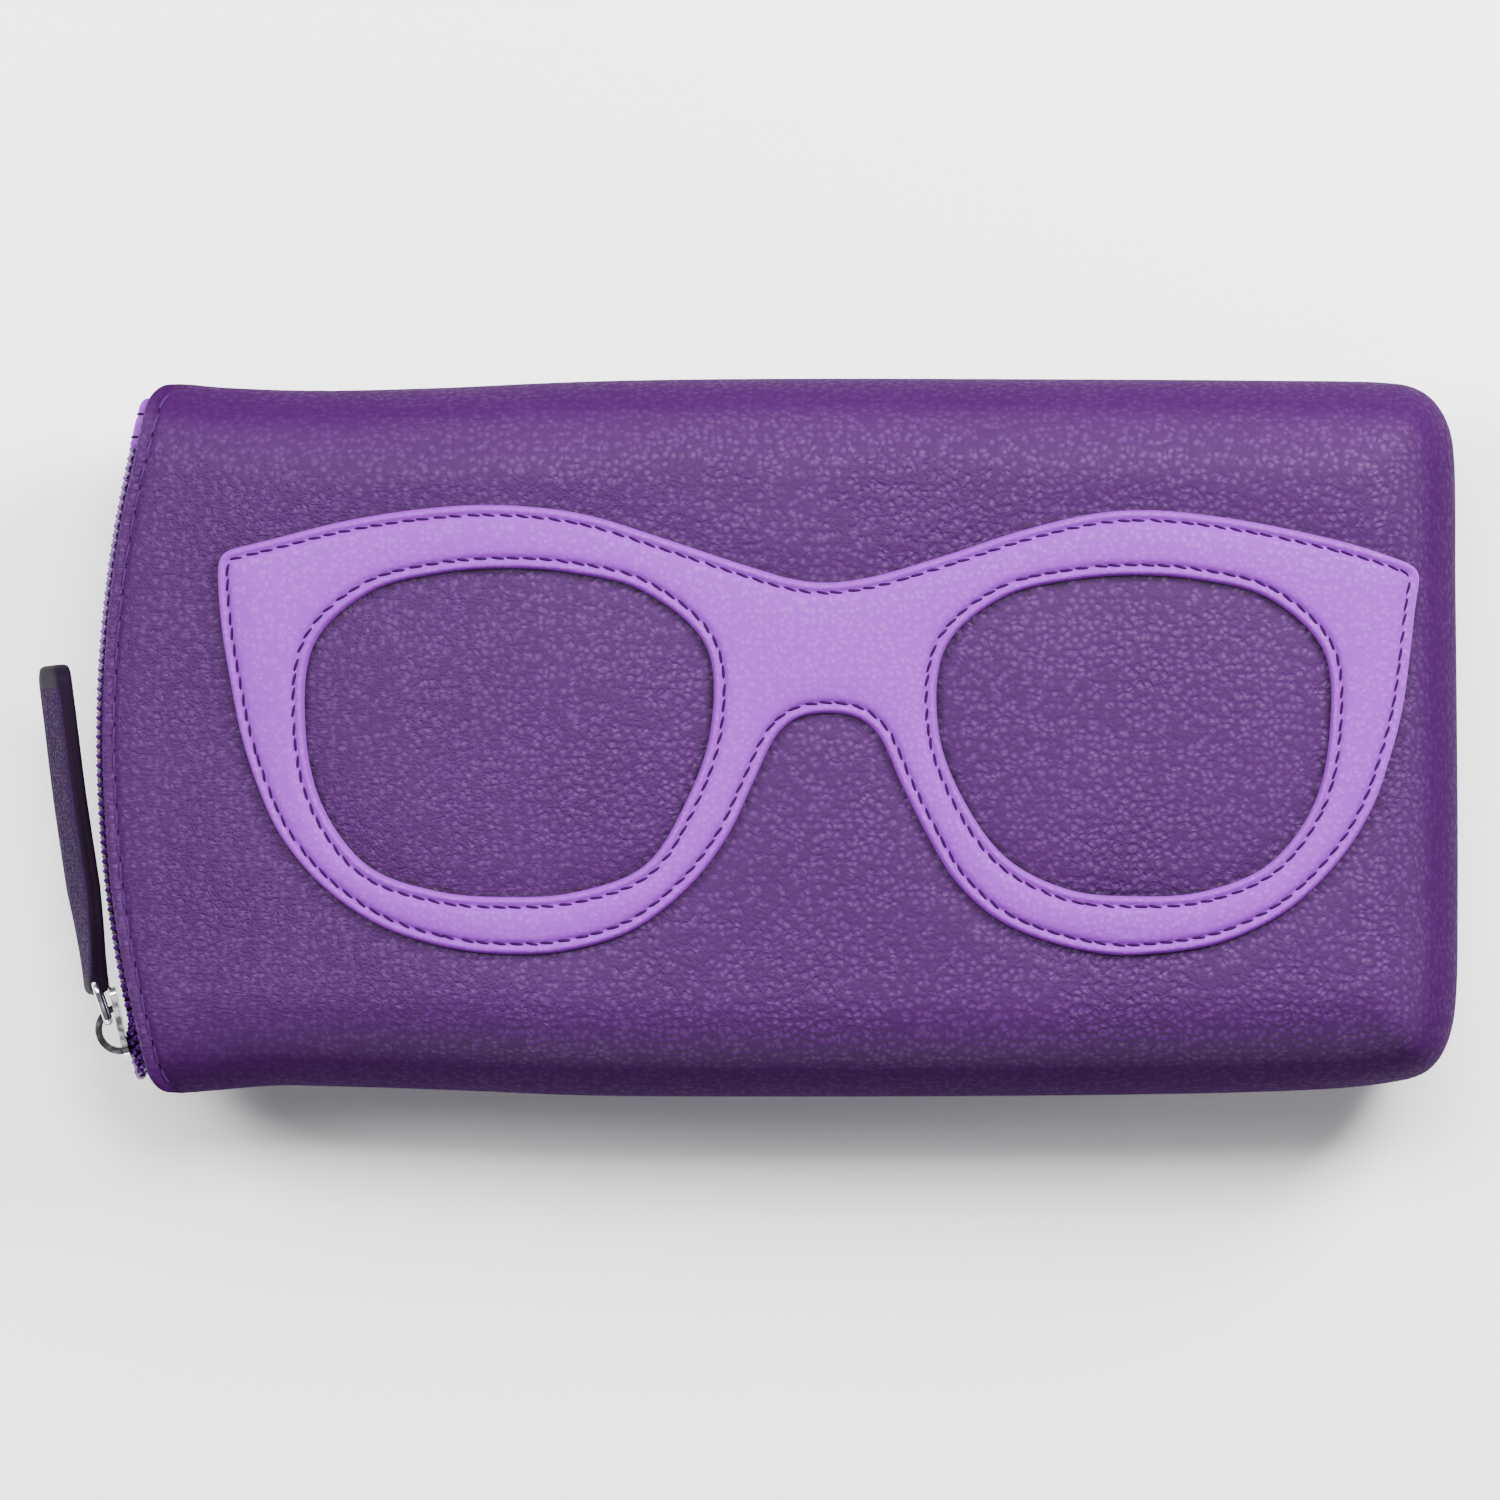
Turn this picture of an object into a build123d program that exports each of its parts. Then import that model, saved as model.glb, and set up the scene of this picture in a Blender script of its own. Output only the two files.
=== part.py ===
"""Soft leather case for two pairs of glasses, with a curved zip across one short end.

Millimetres. The case lies on its back: X runs from the zipped mouth to the closed end, Y across,
Z up out of the appliqued front. The origin is the middle of the flat back face.
"""

import os
from functools import lru_cache
from math import cos, radians, sin, sqrt

from build123d import *

# Outer size.
LENGTH = 178.0
WIDTH = 93.6
THICK = 38.0
MID_Z = THICK / 2
END_X = LENGTH / 2
HALF_W = WIDTH / 2
WAIST = 1.1  # how far the long sides draw in behind the mouth
CORNER_R = 9.0  # closed end's corners in plan
MOUTH_CORNER_R = 4.0
EDGE_ROUND = 13.0  # how far in from each edge the faces start to fall away
SIDE_FLAT = 0.4  # the roundings run this far past the sides, which leaves a narrow upright band

# The mouth is an arc about a vertical line through (ARC_X, 0).
ARC_R = 165.0
MOUTH_X = -88.2
ARC_X = MOUTH_X + ARC_R
MOUTH_HALF = 7.5  # half the gap between the two leather edges
TAPER_X = -30.0  # the faces slope down to the mouth from here
PAST_MOUTH = -100.0  # inner volumes run out through the mouth to here

# Layers, each as (inset, inset at the mouth): the padding is skived thin at the mouth.
OUTER = (0.0, 0.0)
LEATHER_IN = (1.2, 1.2)
PAD_OUT = (1.25, 1.25)
PAD_IN = (3.25, 1.8)
LINING_OUT = (3.3, 1.85)
LINING_IN = (3.8, 2.35)
DIVIDER_FIT = (3.85, 2.4)
PAD_END_R = 157.0
LINING_END_R = 161.3

# Zip.
TAPE_IN = (1.7, 1.7)
TAPE_R = (164.3, 164.9)
TAPE_SEWN_R = 157.5
COIL_R = (163.8, 165.6)
COIL_Z = (0.45, 3.2)  # each half chain's span from the middle plane
ZIP_HALF_Y = 43.5
TAPE_HALF_Y = 44.6

# Moving front lip.
HINGE_X = -25.0
LIP_HALF_Y = 33.0
LIP_GAP = 0.25

# Applique.
APPLIQUE = 1.1
THREAD = 0.35
THREAD_W = 0.5
SEAM_IN = 1.35  # applique stitching, from its edge
MOUTH_SEAM_R = (162.6, 163.1)

# Slider, at its closed place on the arc. Radii are from the arc's axis.
SLIDER_AT = 12.8
SLIDER_HALF_L = 4.75
NOSE_HALF_W = 4.3
TAIL_HALF_W = 3.6
INNER_PLATE_R = (162.0, 162.8)
OUTER_PLATE_R = (166.7, 167.5)
POST_HALF_W = 0.35
CROWN_HALF_W = 1.2
CROWN_TOP_R = 170.5
CROWN_T = (-4.3, 2.3)  # its two feet, along the zip
CROWN_WALL = 0.9

# Pull.
PIVOT_T = 0.3
PIVOT_R = 168.5
WIRE_R = 0.5
RING_LONG = 5.2
RING_HALF_W = 4.0
RING_TILT = 6.0  # outward from the zip's direction
STRAP_TILT = -5.0
STRAP_LONG = 42.5
STRAP_W = 9.4
STRAP_THICK = 2.6
NECK_W = 6.4
NECK_R = 1.3
NECK_LONG = 6.0
STRAP_TWIST = 11.5

# End tab, over the closed end of the zip.
TAB_R = (165.7, 166.4)
TAB_Y = (37.9, 44.3)
TAB_HALF_Z = 4.6

# Divider between the two compartments.
DIVIDER_X = -70.0
BOARD_HALF = 0.5
COVER_HALF = 0.9

# Applique outline, clockwise from the left tip: each side's points, then its two end directions.
LEFT_TIP = (-73.2, 23.4)
RIGHT_TIP = (83.3, 22.5)
TIP_R = 2.1
RIGHT_NECK = (16.5, -7.0)
LEFT_NECK = (-4.2, -8.0)
BROW = [
    LEFT_TIP, (-56.0, 28.3), (-38.0, 30.4), (-20.0, 27.8), (5.6, 20.4),
    (29.0, 26.2), (46.0, 29.6), (64.0, 27.8), RIGHT_TIP,
]
RIGHT_RIM = [RIGHT_TIP, (80.5, 0.5), (70.5, -18.8), (46.0, -28.2), (27.0, -22.5), RIGHT_NECK]
BRIDGE = [RIGHT_NECK, (12.0, 1.4), (6.2, 3.3), (0.2, 0.7), LEFT_NECK]
LEFT_RIM = [LEFT_NECK, (-12.5, -20.2), (-33.5, -28.1), (-57.5, -20.9), (-69.6, -0.8), LEFT_TIP]
APPLIQUE_SIDES = [
    (BROW, (0.94, 0.34), (0.93, -0.36)),
    (RIGHT_RIM, (-0.03, -1.0), (-0.5, 0.87)),
    (BRIDGE, (-0.5, 0.87), (-0.42, -0.9)),
    (LEFT_RIM, (-0.42, -0.9), (-0.05, 1.0)),
]

# Lens openings, anticlockwise.
LEFT_LENS = [
    (-8.6, 5.5), (-13.0, 16.0), (-24.0, 21.3), (-38.0, 22.2), (-53.0, 18.8),
    (-61.3, 8.5), (-59.6, -8.0), (-49.5, -18.3), (-33.0, -20.8), (-16.5, -14.5),
]
RIGHT_LENS = [
    (71.9, 7.0), (66.8, 15.8), (56.0, 20.5), (43.0, 21.3), (27.5, 17.3),
    (20.7, 5.0), (25.0, -9.6), (35.0, -18.7), (49.5, -20.6), (65.5, -14.6),
]

OUT = "parts"


def plan_face(inset):
    """The case from above, open past the mouth: waisted long sides and a round-cornered closed end."""
    side, end, corner = HALF_W - inset, END_X - inset, CORNER_R - inset
    top = [
        (PAST_MOUTH, side - 0.3),
        (-62.0, side - WAIST),
        (-18.0, side - 0.3),
        (25.0, side),
        (end - corner, side),
    ]
    low = [(x, -y) for x, y in reversed(top)]
    outline = [
        Spline(*top, tangents=[(1, 0), (1, 0)]),
        CenterArc((end - corner, side - corner), corner, 0, 90),
        Line((end, side - corner), (end, corner - side)),
        CenterArc((end - corner, corner - side), corner, 270, 90),
        Spline(*low, tangents=[(-1, 0), (-1, 0)]),
        Line(low[-1], top[0]),
    ]
    return make_face(outline)


def round_over(mid, reach, half):
    """A rounding from the upper face at mid, out to mid + reach at the middle plane, to the lower face."""
    pull = 0.552
    out, in_ = mid + reach, mid + pull * reach
    return [
        Bezier((mid, half), (in_, half), (out, pull * half), (out, 0)),
        Bezier((out, 0), (out, -pull * half), (in_, -half), (mid, -half)),
    ]


def side_face(inset, mouth_inset):
    """The case from the side, in (x, z - MID_Z): flat faces that slope to the mouth and round off at the end."""
    half, run = MID_Z - inset, TAPER_X - MOUTH_X
    drop = half - (MOUTH_HALF - mouth_inset)
    bend = (run * run + drop * drop) / (2 * drop)

    def height(x):
        return half - bend + sqrt(bend * bend - (TAPER_X - x) ** 2)

    end_mid = END_X - EDGE_ROUND
    points = [(PAST_MOUTH, height(PAST_MOUTH)), (MOUTH_X, height(MOUTH_X)), (TAPER_X, half)]
    outline = [
        ThreePointArc(*points),
        Line((TAPER_X, half), (end_mid, half)),
        *round_over(end_mid, EDGE_ROUND + SIDE_FLAT - inset, half),
        Line((end_mid, -half), (TAPER_X, -half)),
        ThreePointArc(*[(x, -z) for x, z in reversed(points)]),
        Line((PAST_MOUTH, -height(PAST_MOUTH)), (PAST_MOUTH, height(PAST_MOUTH))),
    ]
    return make_face(outline)


def section_face(inset):
    """The case end on, in (y, z - MID_Z): two flat faces joined by half ellipses."""
    half, mid = MID_Z - inset, HALF_W - EDGE_ROUND
    outline = [
        Line((-mid, half), (mid, half)),
        *round_over(mid, EDGE_ROUND + SIDE_FLAT - inset, half),
        Line((mid, -half), (-mid, -half)),
        *round_over(-mid, -(EDGE_ROUND + SIDE_FLAT - inset), half),
    ]
    return make_face(outline)


@lru_cache(maxsize=None)
def volume(layer):
    """Everything inside one layer's surface, open past the mouth."""
    inset, mouth_inset = layer
    above = extrude(plan_face(inset), THICK + 10)
    above = Pos(0, 0, -5) * above
    along_y = Plane((0, 0, MID_Z), x_dir=(1, 0, 0), z_dir=(0, -1, 0))
    along_x = Plane((0, 0, MID_Z), x_dir=(0, 1, 0), z_dir=(1, 0, 0))
    beside = along_y * extrude(side_face(inset, mouth_inset), WIDTH, both=True)
    across = along_x * extrude(section_face(inset), LENGTH, both=True)
    return above & beside & across


def annulus(inner, outer, z_low=-5.0, z_high=THICK + 5.0, half_y=None):
    """A ring about the mouth's axis, near the mouth only."""
    ring = Circle(outer) - Circle(inner) if inner else Circle(outer)
    solid = Pos(ARC_X, 0, z_low) * extrude(ring, z_high - z_low)
    if half_y is not None:
        solid &= Pos(MOUTH_X, 0, MID_Z) * Box(60, 2 * half_y, 2 * THICK)
    return solid


def half(front):
    """All space in front of the middle plane, or all behind it."""
    return Pos(0, 0, MID_Z + (THICK if front else -THICK)) * Box(400, 400, 2 * THICK)


def lip_space(grow=0.0):
    """The block of the front that lifts as the moving lip."""
    long = HINGE_X - PAST_MOUTH + 10
    block = Box(long, 2 * LIP_HALF_Y + 2 * grow, THICK + 20)
    return Pos(HINGE_X - LIP_GAP + grow - long / 2, 0, MID_Z + THICK / 2 + 10) * block


def split(name, solid, parts):
    """Stores the part of a front layer that stays, and the part that lifts with the lip."""
    parts[name] = solid - lip_space(grow=2 * LIP_GAP)
    parts[name + "_lip"] = solid & lip_space()


def moved_out(point, before, after, grow):
    """A point of a clockwise outline, moved so that the sides before and after it both move by grow."""
    first = Vector(-before[1], before[0]).normalized()
    second = Vector(-after[1], after[0]).normalized()
    return Vector(*point) + (first + second) * (grow / (1 + first.dot(second)))


def applique_outline(grow=0.0):
    """The spectacle shape, clockwise, or the same outline grown evenly."""
    edges = []
    for index, (points, start, end) in enumerate(APPLIQUE_SIDES):
        base = Spline(*points, tangents=[start, end])
        end_before = APPLIQUE_SIDES[index - 1][2]
        start_after = APPLIQUE_SIDES[(index + 1) % len(APPLIQUE_SIDES)][1]
        moved = [moved_out(points[0], end_before, start, grow)]
        for point in points[1:-1]:
            along = tuple(base.tangent_at(Vector(*point)))
            moved.append(moved_out(point, along, along, grow))
        moved.append(moved_out(points[-1], end, start_after, grow))
        edges.append(Spline(*moved, tangents=[start, end]))
    face = make_face(edges)
    tips = [face.vertices().sort_by_distance((*tip, 0))[0] for tip in (LEFT_TIP, RIGHT_TIP)]
    return fillet(tips, TIP_R + grow)


def lens_opening(points, grow=0.0):
    """A rounded opening through the applique, or the same anticlockwise outline grown evenly."""
    edge = Spline(*points, periodic=True)
    moved = []
    for x, y in points:
        along = edge.tangent_at(Vector(x, y))
        moved.append((x + grow * along.Y, y - grow * along.X))
    return make_face(Spline(*moved, periodic=True))


def raised(face, low, high):
    """A flat outline laid on the front as a layer between two heights above the leather."""
    column = extrude(face, THICK + 10)
    column &= half(True)
    return (volume((-high, -high)) - volume((-low, -low))) & column


def edge_seam():
    """A thread-wide band just inside the applique's outer edge."""
    return applique_outline(THREAD_W / 2 - SEAM_IN) - applique_outline(-THREAD_W / 2 - SEAM_IN)


def lens_seam(points):
    """A thread-wide band just outside a lens opening."""
    return lens_opening(points, SEAM_IN + THREAD_W / 2) - lens_opening(points, SEAM_IN - THREAD_W / 2)


def shell(outer, inner, front, end_r):
    """One half of a layer, cut off along the mouth."""
    return (volume(outer) - volume(inner)) & annulus(0, end_r) & half(front)


def leather_half(front):
    """A leather panel with rounded corners at the mouth."""
    rim = plan_face(0) & Pos(ARC_X, 0) * Circle(ARC_R)
    corners = rim.vertices().sort_by(Axis.X)[:2]
    column = Pos(0, 0, -5) * extrude(fillet(corners, MOUTH_CORNER_R), THICK + 10)
    return shell(OUTER, LEATHER_IN, front, ARC_R) & column


def zip_tape(front):
    """A tape sewn under the leather edge, turned down over the end as far as its coil."""
    inside = volume(LEATHER_IN) & half(front)
    sewn = (inside - volume(TAPE_IN)) & annulus(TAPE_SEWN_R, TAPE_R[1], half_y=TAPE_HALF_Y - 3)
    web = inside & annulus(*TAPE_R, half_y=TAPE_HALF_Y)
    web -= Pos(0, 0, MID_Z) * Box(400, 400, 2 * COIL_Z[1] + 0.1)
    return sewn + web


def zip_coil(front):
    """One half of the coil chain."""
    low, high = (COIL_Z[0], COIL_Z[1]) if front else (-COIL_Z[1], -COIL_Z[0])
    return annulus(*COIL_R, MID_Z + low, MID_Z + high, half_y=ZIP_HALF_Y)


def mouth_seam(front):
    """The row of stitches along a leather edge."""
    skin = volume((-THREAD, -THREAD)) - volume(OUTER)
    return skin & annulus(*MOUTH_SEAM_R, half_y=LIP_HALF_Y + 8) & half(front)


def on_arc(solid, at=SLIDER_AT):
    """Turns a solid built where the arc crosses the X axis to its place along the zip."""
    return Pos(ARC_X, 0, 0) * Rot(0, 0, at) * Pos(-ARC_X, 0, 0) * solid


def arc_point(along, radius):
    """A point near the slider's centre: its distance along the zip and from the arc's axis."""
    return (ARC_X - radius, along)


def slider_body():
    """Two plates joined by a post at the nose, with a crown for the ring."""
    outline = [
        (-SLIDER_HALF_L, -NOSE_HALF_W),
        (-SLIDER_HALF_L, NOSE_HALF_W),
        (SLIDER_HALF_L, TAIL_HALF_W),
        (SLIDER_HALF_L, -TAIL_HALF_W),
    ]
    facing = Plane((MOUTH_X - 10, 0, MID_Z), x_dir=(0, 1, 0), z_dir=(1, 0, 0))
    face = fillet(make_face(Polyline(*outline, close=True)).vertices(), 1.2)
    column = facing * extrude(face, 20)
    plates = (annulus(*INNER_PLATE_R) + annulus(*OUTER_PLATE_R)) & column
    post_long = 1.8
    post_r = (INNER_PLATE_R[1], OUTER_PLATE_R[0])
    post = annulus(*post_r) & Pos(MOUTH_X, -SLIDER_HALF_L + 0.5 + post_long / 2, MID_Z) * Box(
        20, post_long, 2 * POST_HALF_W
    )
    top, foot = CROWN_TOP_R, OUTER_PLATE_R[1] - 0.3
    nose_foot, tail_foot = CROWN_T
    middle = (nose_foot + tail_foot) / 2
    nose_in, tail_in = nose_foot + CROWN_WALL, tail_foot - CROWN_WALL
    crest = arc_point(middle, top)
    under = arc_point(middle, top - CROWN_WALL)
    arch = make_face(
        [
            ThreePointArc(arc_point(nose_foot, foot), crest, arc_point(tail_foot, foot)),
            Line(arc_point(tail_foot, foot), arc_point(tail_in, foot)),
            ThreePointArc(arc_point(tail_in, foot), under, arc_point(nose_in, foot)),
            Line(arc_point(nose_in, foot), arc_point(nose_foot, foot)),
        ]
    )
    crown = Pos(0, 0, MID_Z - CROWN_HALF_W) * extrude(arch, 2 * CROWN_HALF_W)
    return on_arc(plates + post + crown)


def pull_pivots():
    """The ring's two bars at rest: through the crown, and through the strap."""
    near = Vector(*arc_point(PIVOT_T, PIVOT_R))
    far = near + Vector(-sin(radians(RING_TILT)), cos(radians(RING_TILT))) * RING_LONG
    return near, far


def pull_ring():
    """A wire loop, upright on the middle plane."""
    near, far = pull_pivots()
    along = (far - near).normalized()
    plane = Plane((near.X, near.Y, MID_Z), x_dir=(along.X, along.Y, 0), z_dir=(along.Y, -along.X, 0))
    loop = Pos(RING_LONG / 2, 0) * RectangleRounded(RING_LONG, 2 * RING_HALF_W, 1.2)
    path = plane * loop.wire()
    start = path @ 0
    wire = Plane(start, z_dir=path % 0) * Circle(WIRE_R)
    return on_arc(sweep(wire, path))


def pull_strap():
    """A folded leather strap with a narrow neck round the ring's bar and a cut tip."""
    outline = [
        (0, NECK_W / 2),
        (NECK_LONG, STRAP_W / 2),
        (STRAP_LONG - 2.5, STRAP_W / 2),
        (STRAP_LONG, STRAP_W / 2 - 1.6),
    ]
    outline += [(x, -y) for x, y in reversed(outline)]
    body = extrude(make_face(Polyline(*outline, close=True)), STRAP_THICK / 2, both=True)
    neck = Rot(90, 0, 0) * Cylinder(NECK_R, NECK_W)
    strap = Rot(STRAP_TWIST, 0, 0) * body + neck
    strap -= Rot(90, 0, 0) * Cylinder(WIRE_R + 0.2, 4 * NECK_W)
    far = pull_pivots()[1]
    tilt = radians(STRAP_TILT)
    along = Vector(-sin(tilt), cos(tilt))
    place = Plane((far.X, far.Y, MID_Z), x_dir=(along.X, along.Y, 0), z_dir=(along.Y, -along.X, 0))
    return on_arc(place * strap)


def end_tab():
    """A leather tab folded over the closed end of the zip."""
    tab = annulus(*TAB_R, MID_Z - TAB_HALF_Z, MID_Z + TAB_HALF_Z)
    middle = sum(TAB_Y) / 2
    return tab & Pos(MOUTH_X, middle, MID_Z) * Box(30, TAB_Y[1] - TAB_Y[0], THICK)


def end_tab_stitching():
    """Two rows of thread across the tab."""
    rows = annulus(TAB_R[1], TAB_R[1] + 0.25, MID_Z - TAB_HALF_Z + 0.6, MID_Z + TAB_HALF_Z - 0.6)
    bars = [Pos(MOUTH_X, y, MID_Z) * Box(30, THREAD_W, THICK) for y in (TAB_Y[0] + 1.6, TAB_Y[1] - 1.9)]
    return Compound(children=[solid for bar in bars for solid in (rows & bar).solids()])


def divider_parts(parts):
    """A stiff board in a folded fabric cover, between the two linings."""
    room = volume(DIVIDER_FIT) & Pos(DIVIDER_X + 150, 0, MID_Z) * Box(300, 200, 2 * COVER_HALF)
    board = Pos(DIVIDER_X + 1 + 150, 0, MID_Z) * Box(300, 200, 2 * BOARD_HALF)
    parts["divider_board"] = room & board
    parts["divider_cover"] = room - board


def build():
    """Every node of the case, by name."""
    parts = {}
    split("front_panel", leather_half(True), parts)
    parts["back_panel"] = leather_half(False)
    split("front_padding", shell(PAD_OUT, PAD_IN, True, PAD_END_R), parts)
    parts["back_padding"] = shell(PAD_OUT, PAD_IN, False, PAD_END_R)
    split("front_lining", shell(LINING_OUT, LINING_IN, True, LINING_END_R), parts)
    parts["back_lining"] = shell(LINING_OUT, LINING_IN, False, LINING_END_R)
    divider_parts(parts)

    sheet = applique_outline() - lens_opening(LEFT_LENS) - lens_opening(RIGHT_LENS)
    split("glasses_applique", raised(sheet, 0, APPLIQUE), parts)
    thread = (APPLIQUE, APPLIQUE + THREAD)
    split("applique_edge_stitching", raised(edge_seam(), *thread), parts)
    split("left_lens_stitching", raised(lens_seam(LEFT_LENS), *thread), parts)
    parts["right_lens_stitching"] = raised(lens_seam(RIGHT_LENS), *thread)

    split("front_mouth_stitching", mouth_seam(True), parts)
    parts["back_mouth_stitching"] = mouth_seam(False)
    split("front_zip_tape", zip_tape(True), parts)
    parts["back_zip_tape"] = zip_tape(False)
    split("front_zip_coil", zip_coil(True), parts)
    parts["back_zip_coil"] = zip_coil(False)
    parts["zip_end_tab"] = end_tab()
    parts["zip_end_tab_stitching"] = end_tab_stitching()

    parts["slider_body"] = slider_body()
    parts["pull_ring"] = pull_ring()
    parts["pull_strap"] = pull_strap()
    return parts


def main():
    os.makedirs(OUT, exist_ok=True)
    for name, shape in build().items():
        solids = shape.solids()
        export_step(Compound(children=solids) if len(solids) > 1 else solids[0], f"{OUT}/{name}.step")
        print(name, len(solids), "solids", round(sum(s.volume for s in solids), 1), "mm3")


if __name__ == "__main__":
    main()
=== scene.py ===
"""The zipped leather glasses case: leather, stitches, zip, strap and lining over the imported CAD."""

import math

import bpy
import numpy as np
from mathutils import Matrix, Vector
from mathutils.geometry import delaunay_2d_cdt
from mathutils.kdtree import KDTree


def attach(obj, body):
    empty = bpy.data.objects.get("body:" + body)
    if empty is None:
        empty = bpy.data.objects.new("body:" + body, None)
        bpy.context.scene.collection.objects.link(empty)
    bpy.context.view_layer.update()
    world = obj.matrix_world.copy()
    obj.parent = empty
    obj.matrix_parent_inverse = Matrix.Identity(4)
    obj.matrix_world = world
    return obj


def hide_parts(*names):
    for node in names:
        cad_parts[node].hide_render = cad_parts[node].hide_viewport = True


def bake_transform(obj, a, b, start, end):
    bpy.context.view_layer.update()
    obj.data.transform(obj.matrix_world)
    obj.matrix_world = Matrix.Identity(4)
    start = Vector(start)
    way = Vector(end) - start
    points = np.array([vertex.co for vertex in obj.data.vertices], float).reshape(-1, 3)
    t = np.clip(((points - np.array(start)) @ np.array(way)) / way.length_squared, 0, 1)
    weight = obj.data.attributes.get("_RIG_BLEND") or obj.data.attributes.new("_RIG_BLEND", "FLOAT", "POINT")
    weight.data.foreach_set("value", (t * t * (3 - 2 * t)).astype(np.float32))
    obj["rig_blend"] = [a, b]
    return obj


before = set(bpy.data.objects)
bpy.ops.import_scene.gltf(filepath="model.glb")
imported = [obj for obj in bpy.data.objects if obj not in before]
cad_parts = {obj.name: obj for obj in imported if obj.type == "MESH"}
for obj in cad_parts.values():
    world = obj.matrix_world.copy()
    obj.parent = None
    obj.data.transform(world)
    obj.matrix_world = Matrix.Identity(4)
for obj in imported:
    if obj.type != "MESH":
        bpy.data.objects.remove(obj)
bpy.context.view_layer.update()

RNG = np.random.default_rng(11)
TREES = {}

# Lengths below are in millimetres in the row frame; MM turns them into scene units.
MM = 0.001
THICK = 38.0
MID = THICK / 2  # height of the middle plane, where the side seam and the zip lie
TAPER_X = -30.0  # where the faces start to slope down to the mouth
MOUTH_X = -88.2
MOUTH_HALF = 7.5  # half the thickness at the mouth
ARC_R = 165.0  # the mouth's curve, seen from above
ARC_X = MOUTH_X + ARC_R
ROUND = 13.0  # how far in from the sides the faces start to fall away
HEM_R = 0.6  # roll of the turned leather edge at the mouth
SEAM_IN = 1.45  # applique stitching, from the applique's edges
MOUTH_SEAM = 1.15  # mouth stitching, from the leather's edge
LAP = 1.2  # how far the side seam's allowance turns in
EDGE_R = 164.6  # radius of the leather's edge at the mouth
ZIP_R = 164.7  # radius of the zip's own line
COIL_R = 165.15  # radius of the coil's middle
COIL_PITCH = 1.25
COIL_ENDS = (-44.6, 38.2)  # between these its loops are made
COIL_HALF_RUN = 45.4  # the loops are counted from this far below the middle
TAB_R = 165.3  # radius of the end tab's middle
TAB_ENDS = (37.7, 44.5)
TAB_BARS = (39.4, 42.4)  # where its two rows of thread cross it
TAB_HALF = (0.8, 4.5)  # half its thickness and half its height
DIVIDER_X = -70.0  # the divider's mouth side
DIVIDER_END_X = 85.0
DIVIDER_HALF_WIDTH = 42.95
STRAP_WIDTH = 9.4
TIP_R = 2.4  # rounding of the strap's free corners

# Outline of the case from above: the mouth from its upper corner down, then the rest anticlockwise.
MOUTH_LINE = [
    (-78, 46.4), (-79.8, 46.1), (-81.2, 44.8), (-82.1, 42.6), (-83, 39), (-85, 30),
    (-86.6, 20), (-87.6, 8), (-87.8, 0), (-87.5, -9), (-86.6, -20), (-84.95, -30),
    (-83.2, -38), (-81.9, -42.8), (-81, -44.9), (-79.7, -46.1), (-78, -46.4),
]
LOWER_SIDE = [
    (-78, -46.4), (-73, -46.1), (-66, -45.5), (-57, -45.6), (-41.6, -46.1), (-25, -46.75),
    (0, -46.9), (30, -46.8), (56.5, -46.45), (70, -46), (76, -45.6), (80.5, -45),
]
LOWER_CORNER = [(80.5, -45), (83.2, -44.4), (85.3, -43.3), (87, -41.2), (88.2, -38), (88.8, -33.5)]
CLOSED_END = [(88.8, -33.5), (89, -20), (88.9, 0), (88.7, 20), (88.55, 36)]
UPPER_CORNER = [(88.55, 36), (88.1, 39.8), (87, 42.6), (85.2, 44.8), (82.8, 46.1), (79.5, 46.6)]
UPPER_SIDE = [
    (79.5, 46.6), (63, 46.9), (30, 47.1), (5, 47.15), (-15, 47), (-28.5, 46.65),
    (-44, 45.95), (-58.6, 45.6), (-68, 45.8), (-78, 46.4),
]

# Applique: the brow from tip to tip, then the rims and bridge back; and the two lens openings.
BROW = [
    (-72.9, 24.3), (-66.6, 25.8), (-56.5, 28.3), (-47, 29.8), (-38.5, 30.4), (-30.6, 30),
    (-24.1, 28.9), (-14.2, 25.8), (-4.5, 22.6), (2.1, 20.7), (6.5, 20.3), (12, 21),
    (21.7, 23.8), (31.5, 27), (41.4, 29.3), (48.5, 29.7), (57.7, 28.8), (67.5, 27),
    (76, 24.9), (83.4, 22.3),
]
RIMS = [
    (83.4, 22.3), (82.6, 16.8), (81.9, 10.3), (81, 3.7), (79.4, -2.8), (77.1, -9.4),
    (73, -15.9), (66.2, -22.4), (57.5, -26.6), (47.9, -28.1), (43, -28.1), (35, -26.4),
    (28.3, -23.4), (23, -18.5), (19.4, -12.6), (16.1, -6.1), (13, 0.5), (10.5, 2.6),
    (6.5, 3.3), (2.5, 2.6), (-0.1, 0.5), (-3.4, -6.1), (-6.5, -12.6), (-11.5, -19.2),
    (-19, -25), (-27.4, -27.6), (-33.9, -28.1), (-42, -27.4), (-51.5, -24.5), (-59.3, -19.2),
    (-64.8, -12.6), (-67.8, -6.1), (-69.9, 0.5), (-71.2, 7), (-72.3, 13.5), (-72.9, 20.1),
    (-72.9, 24.3),
]
LEFT_LENS = [
    (-8.8, 1.2), (-9.4, 12), (-17.5, 19.1), (-26.9, 21.5), (-35.3, 22.1), (-43.7, 21.5),
    (-53.1, 19), (-60.3, 12.4), (-61.5, 1.2), (-59.3, -8.7), (-53.3, -16.6), (-44.1, -19.9),
    (-35.3, -20.6), (-26.5, -20), (-17.5, -16.6), (-12.1, -8.4),
]
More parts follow.
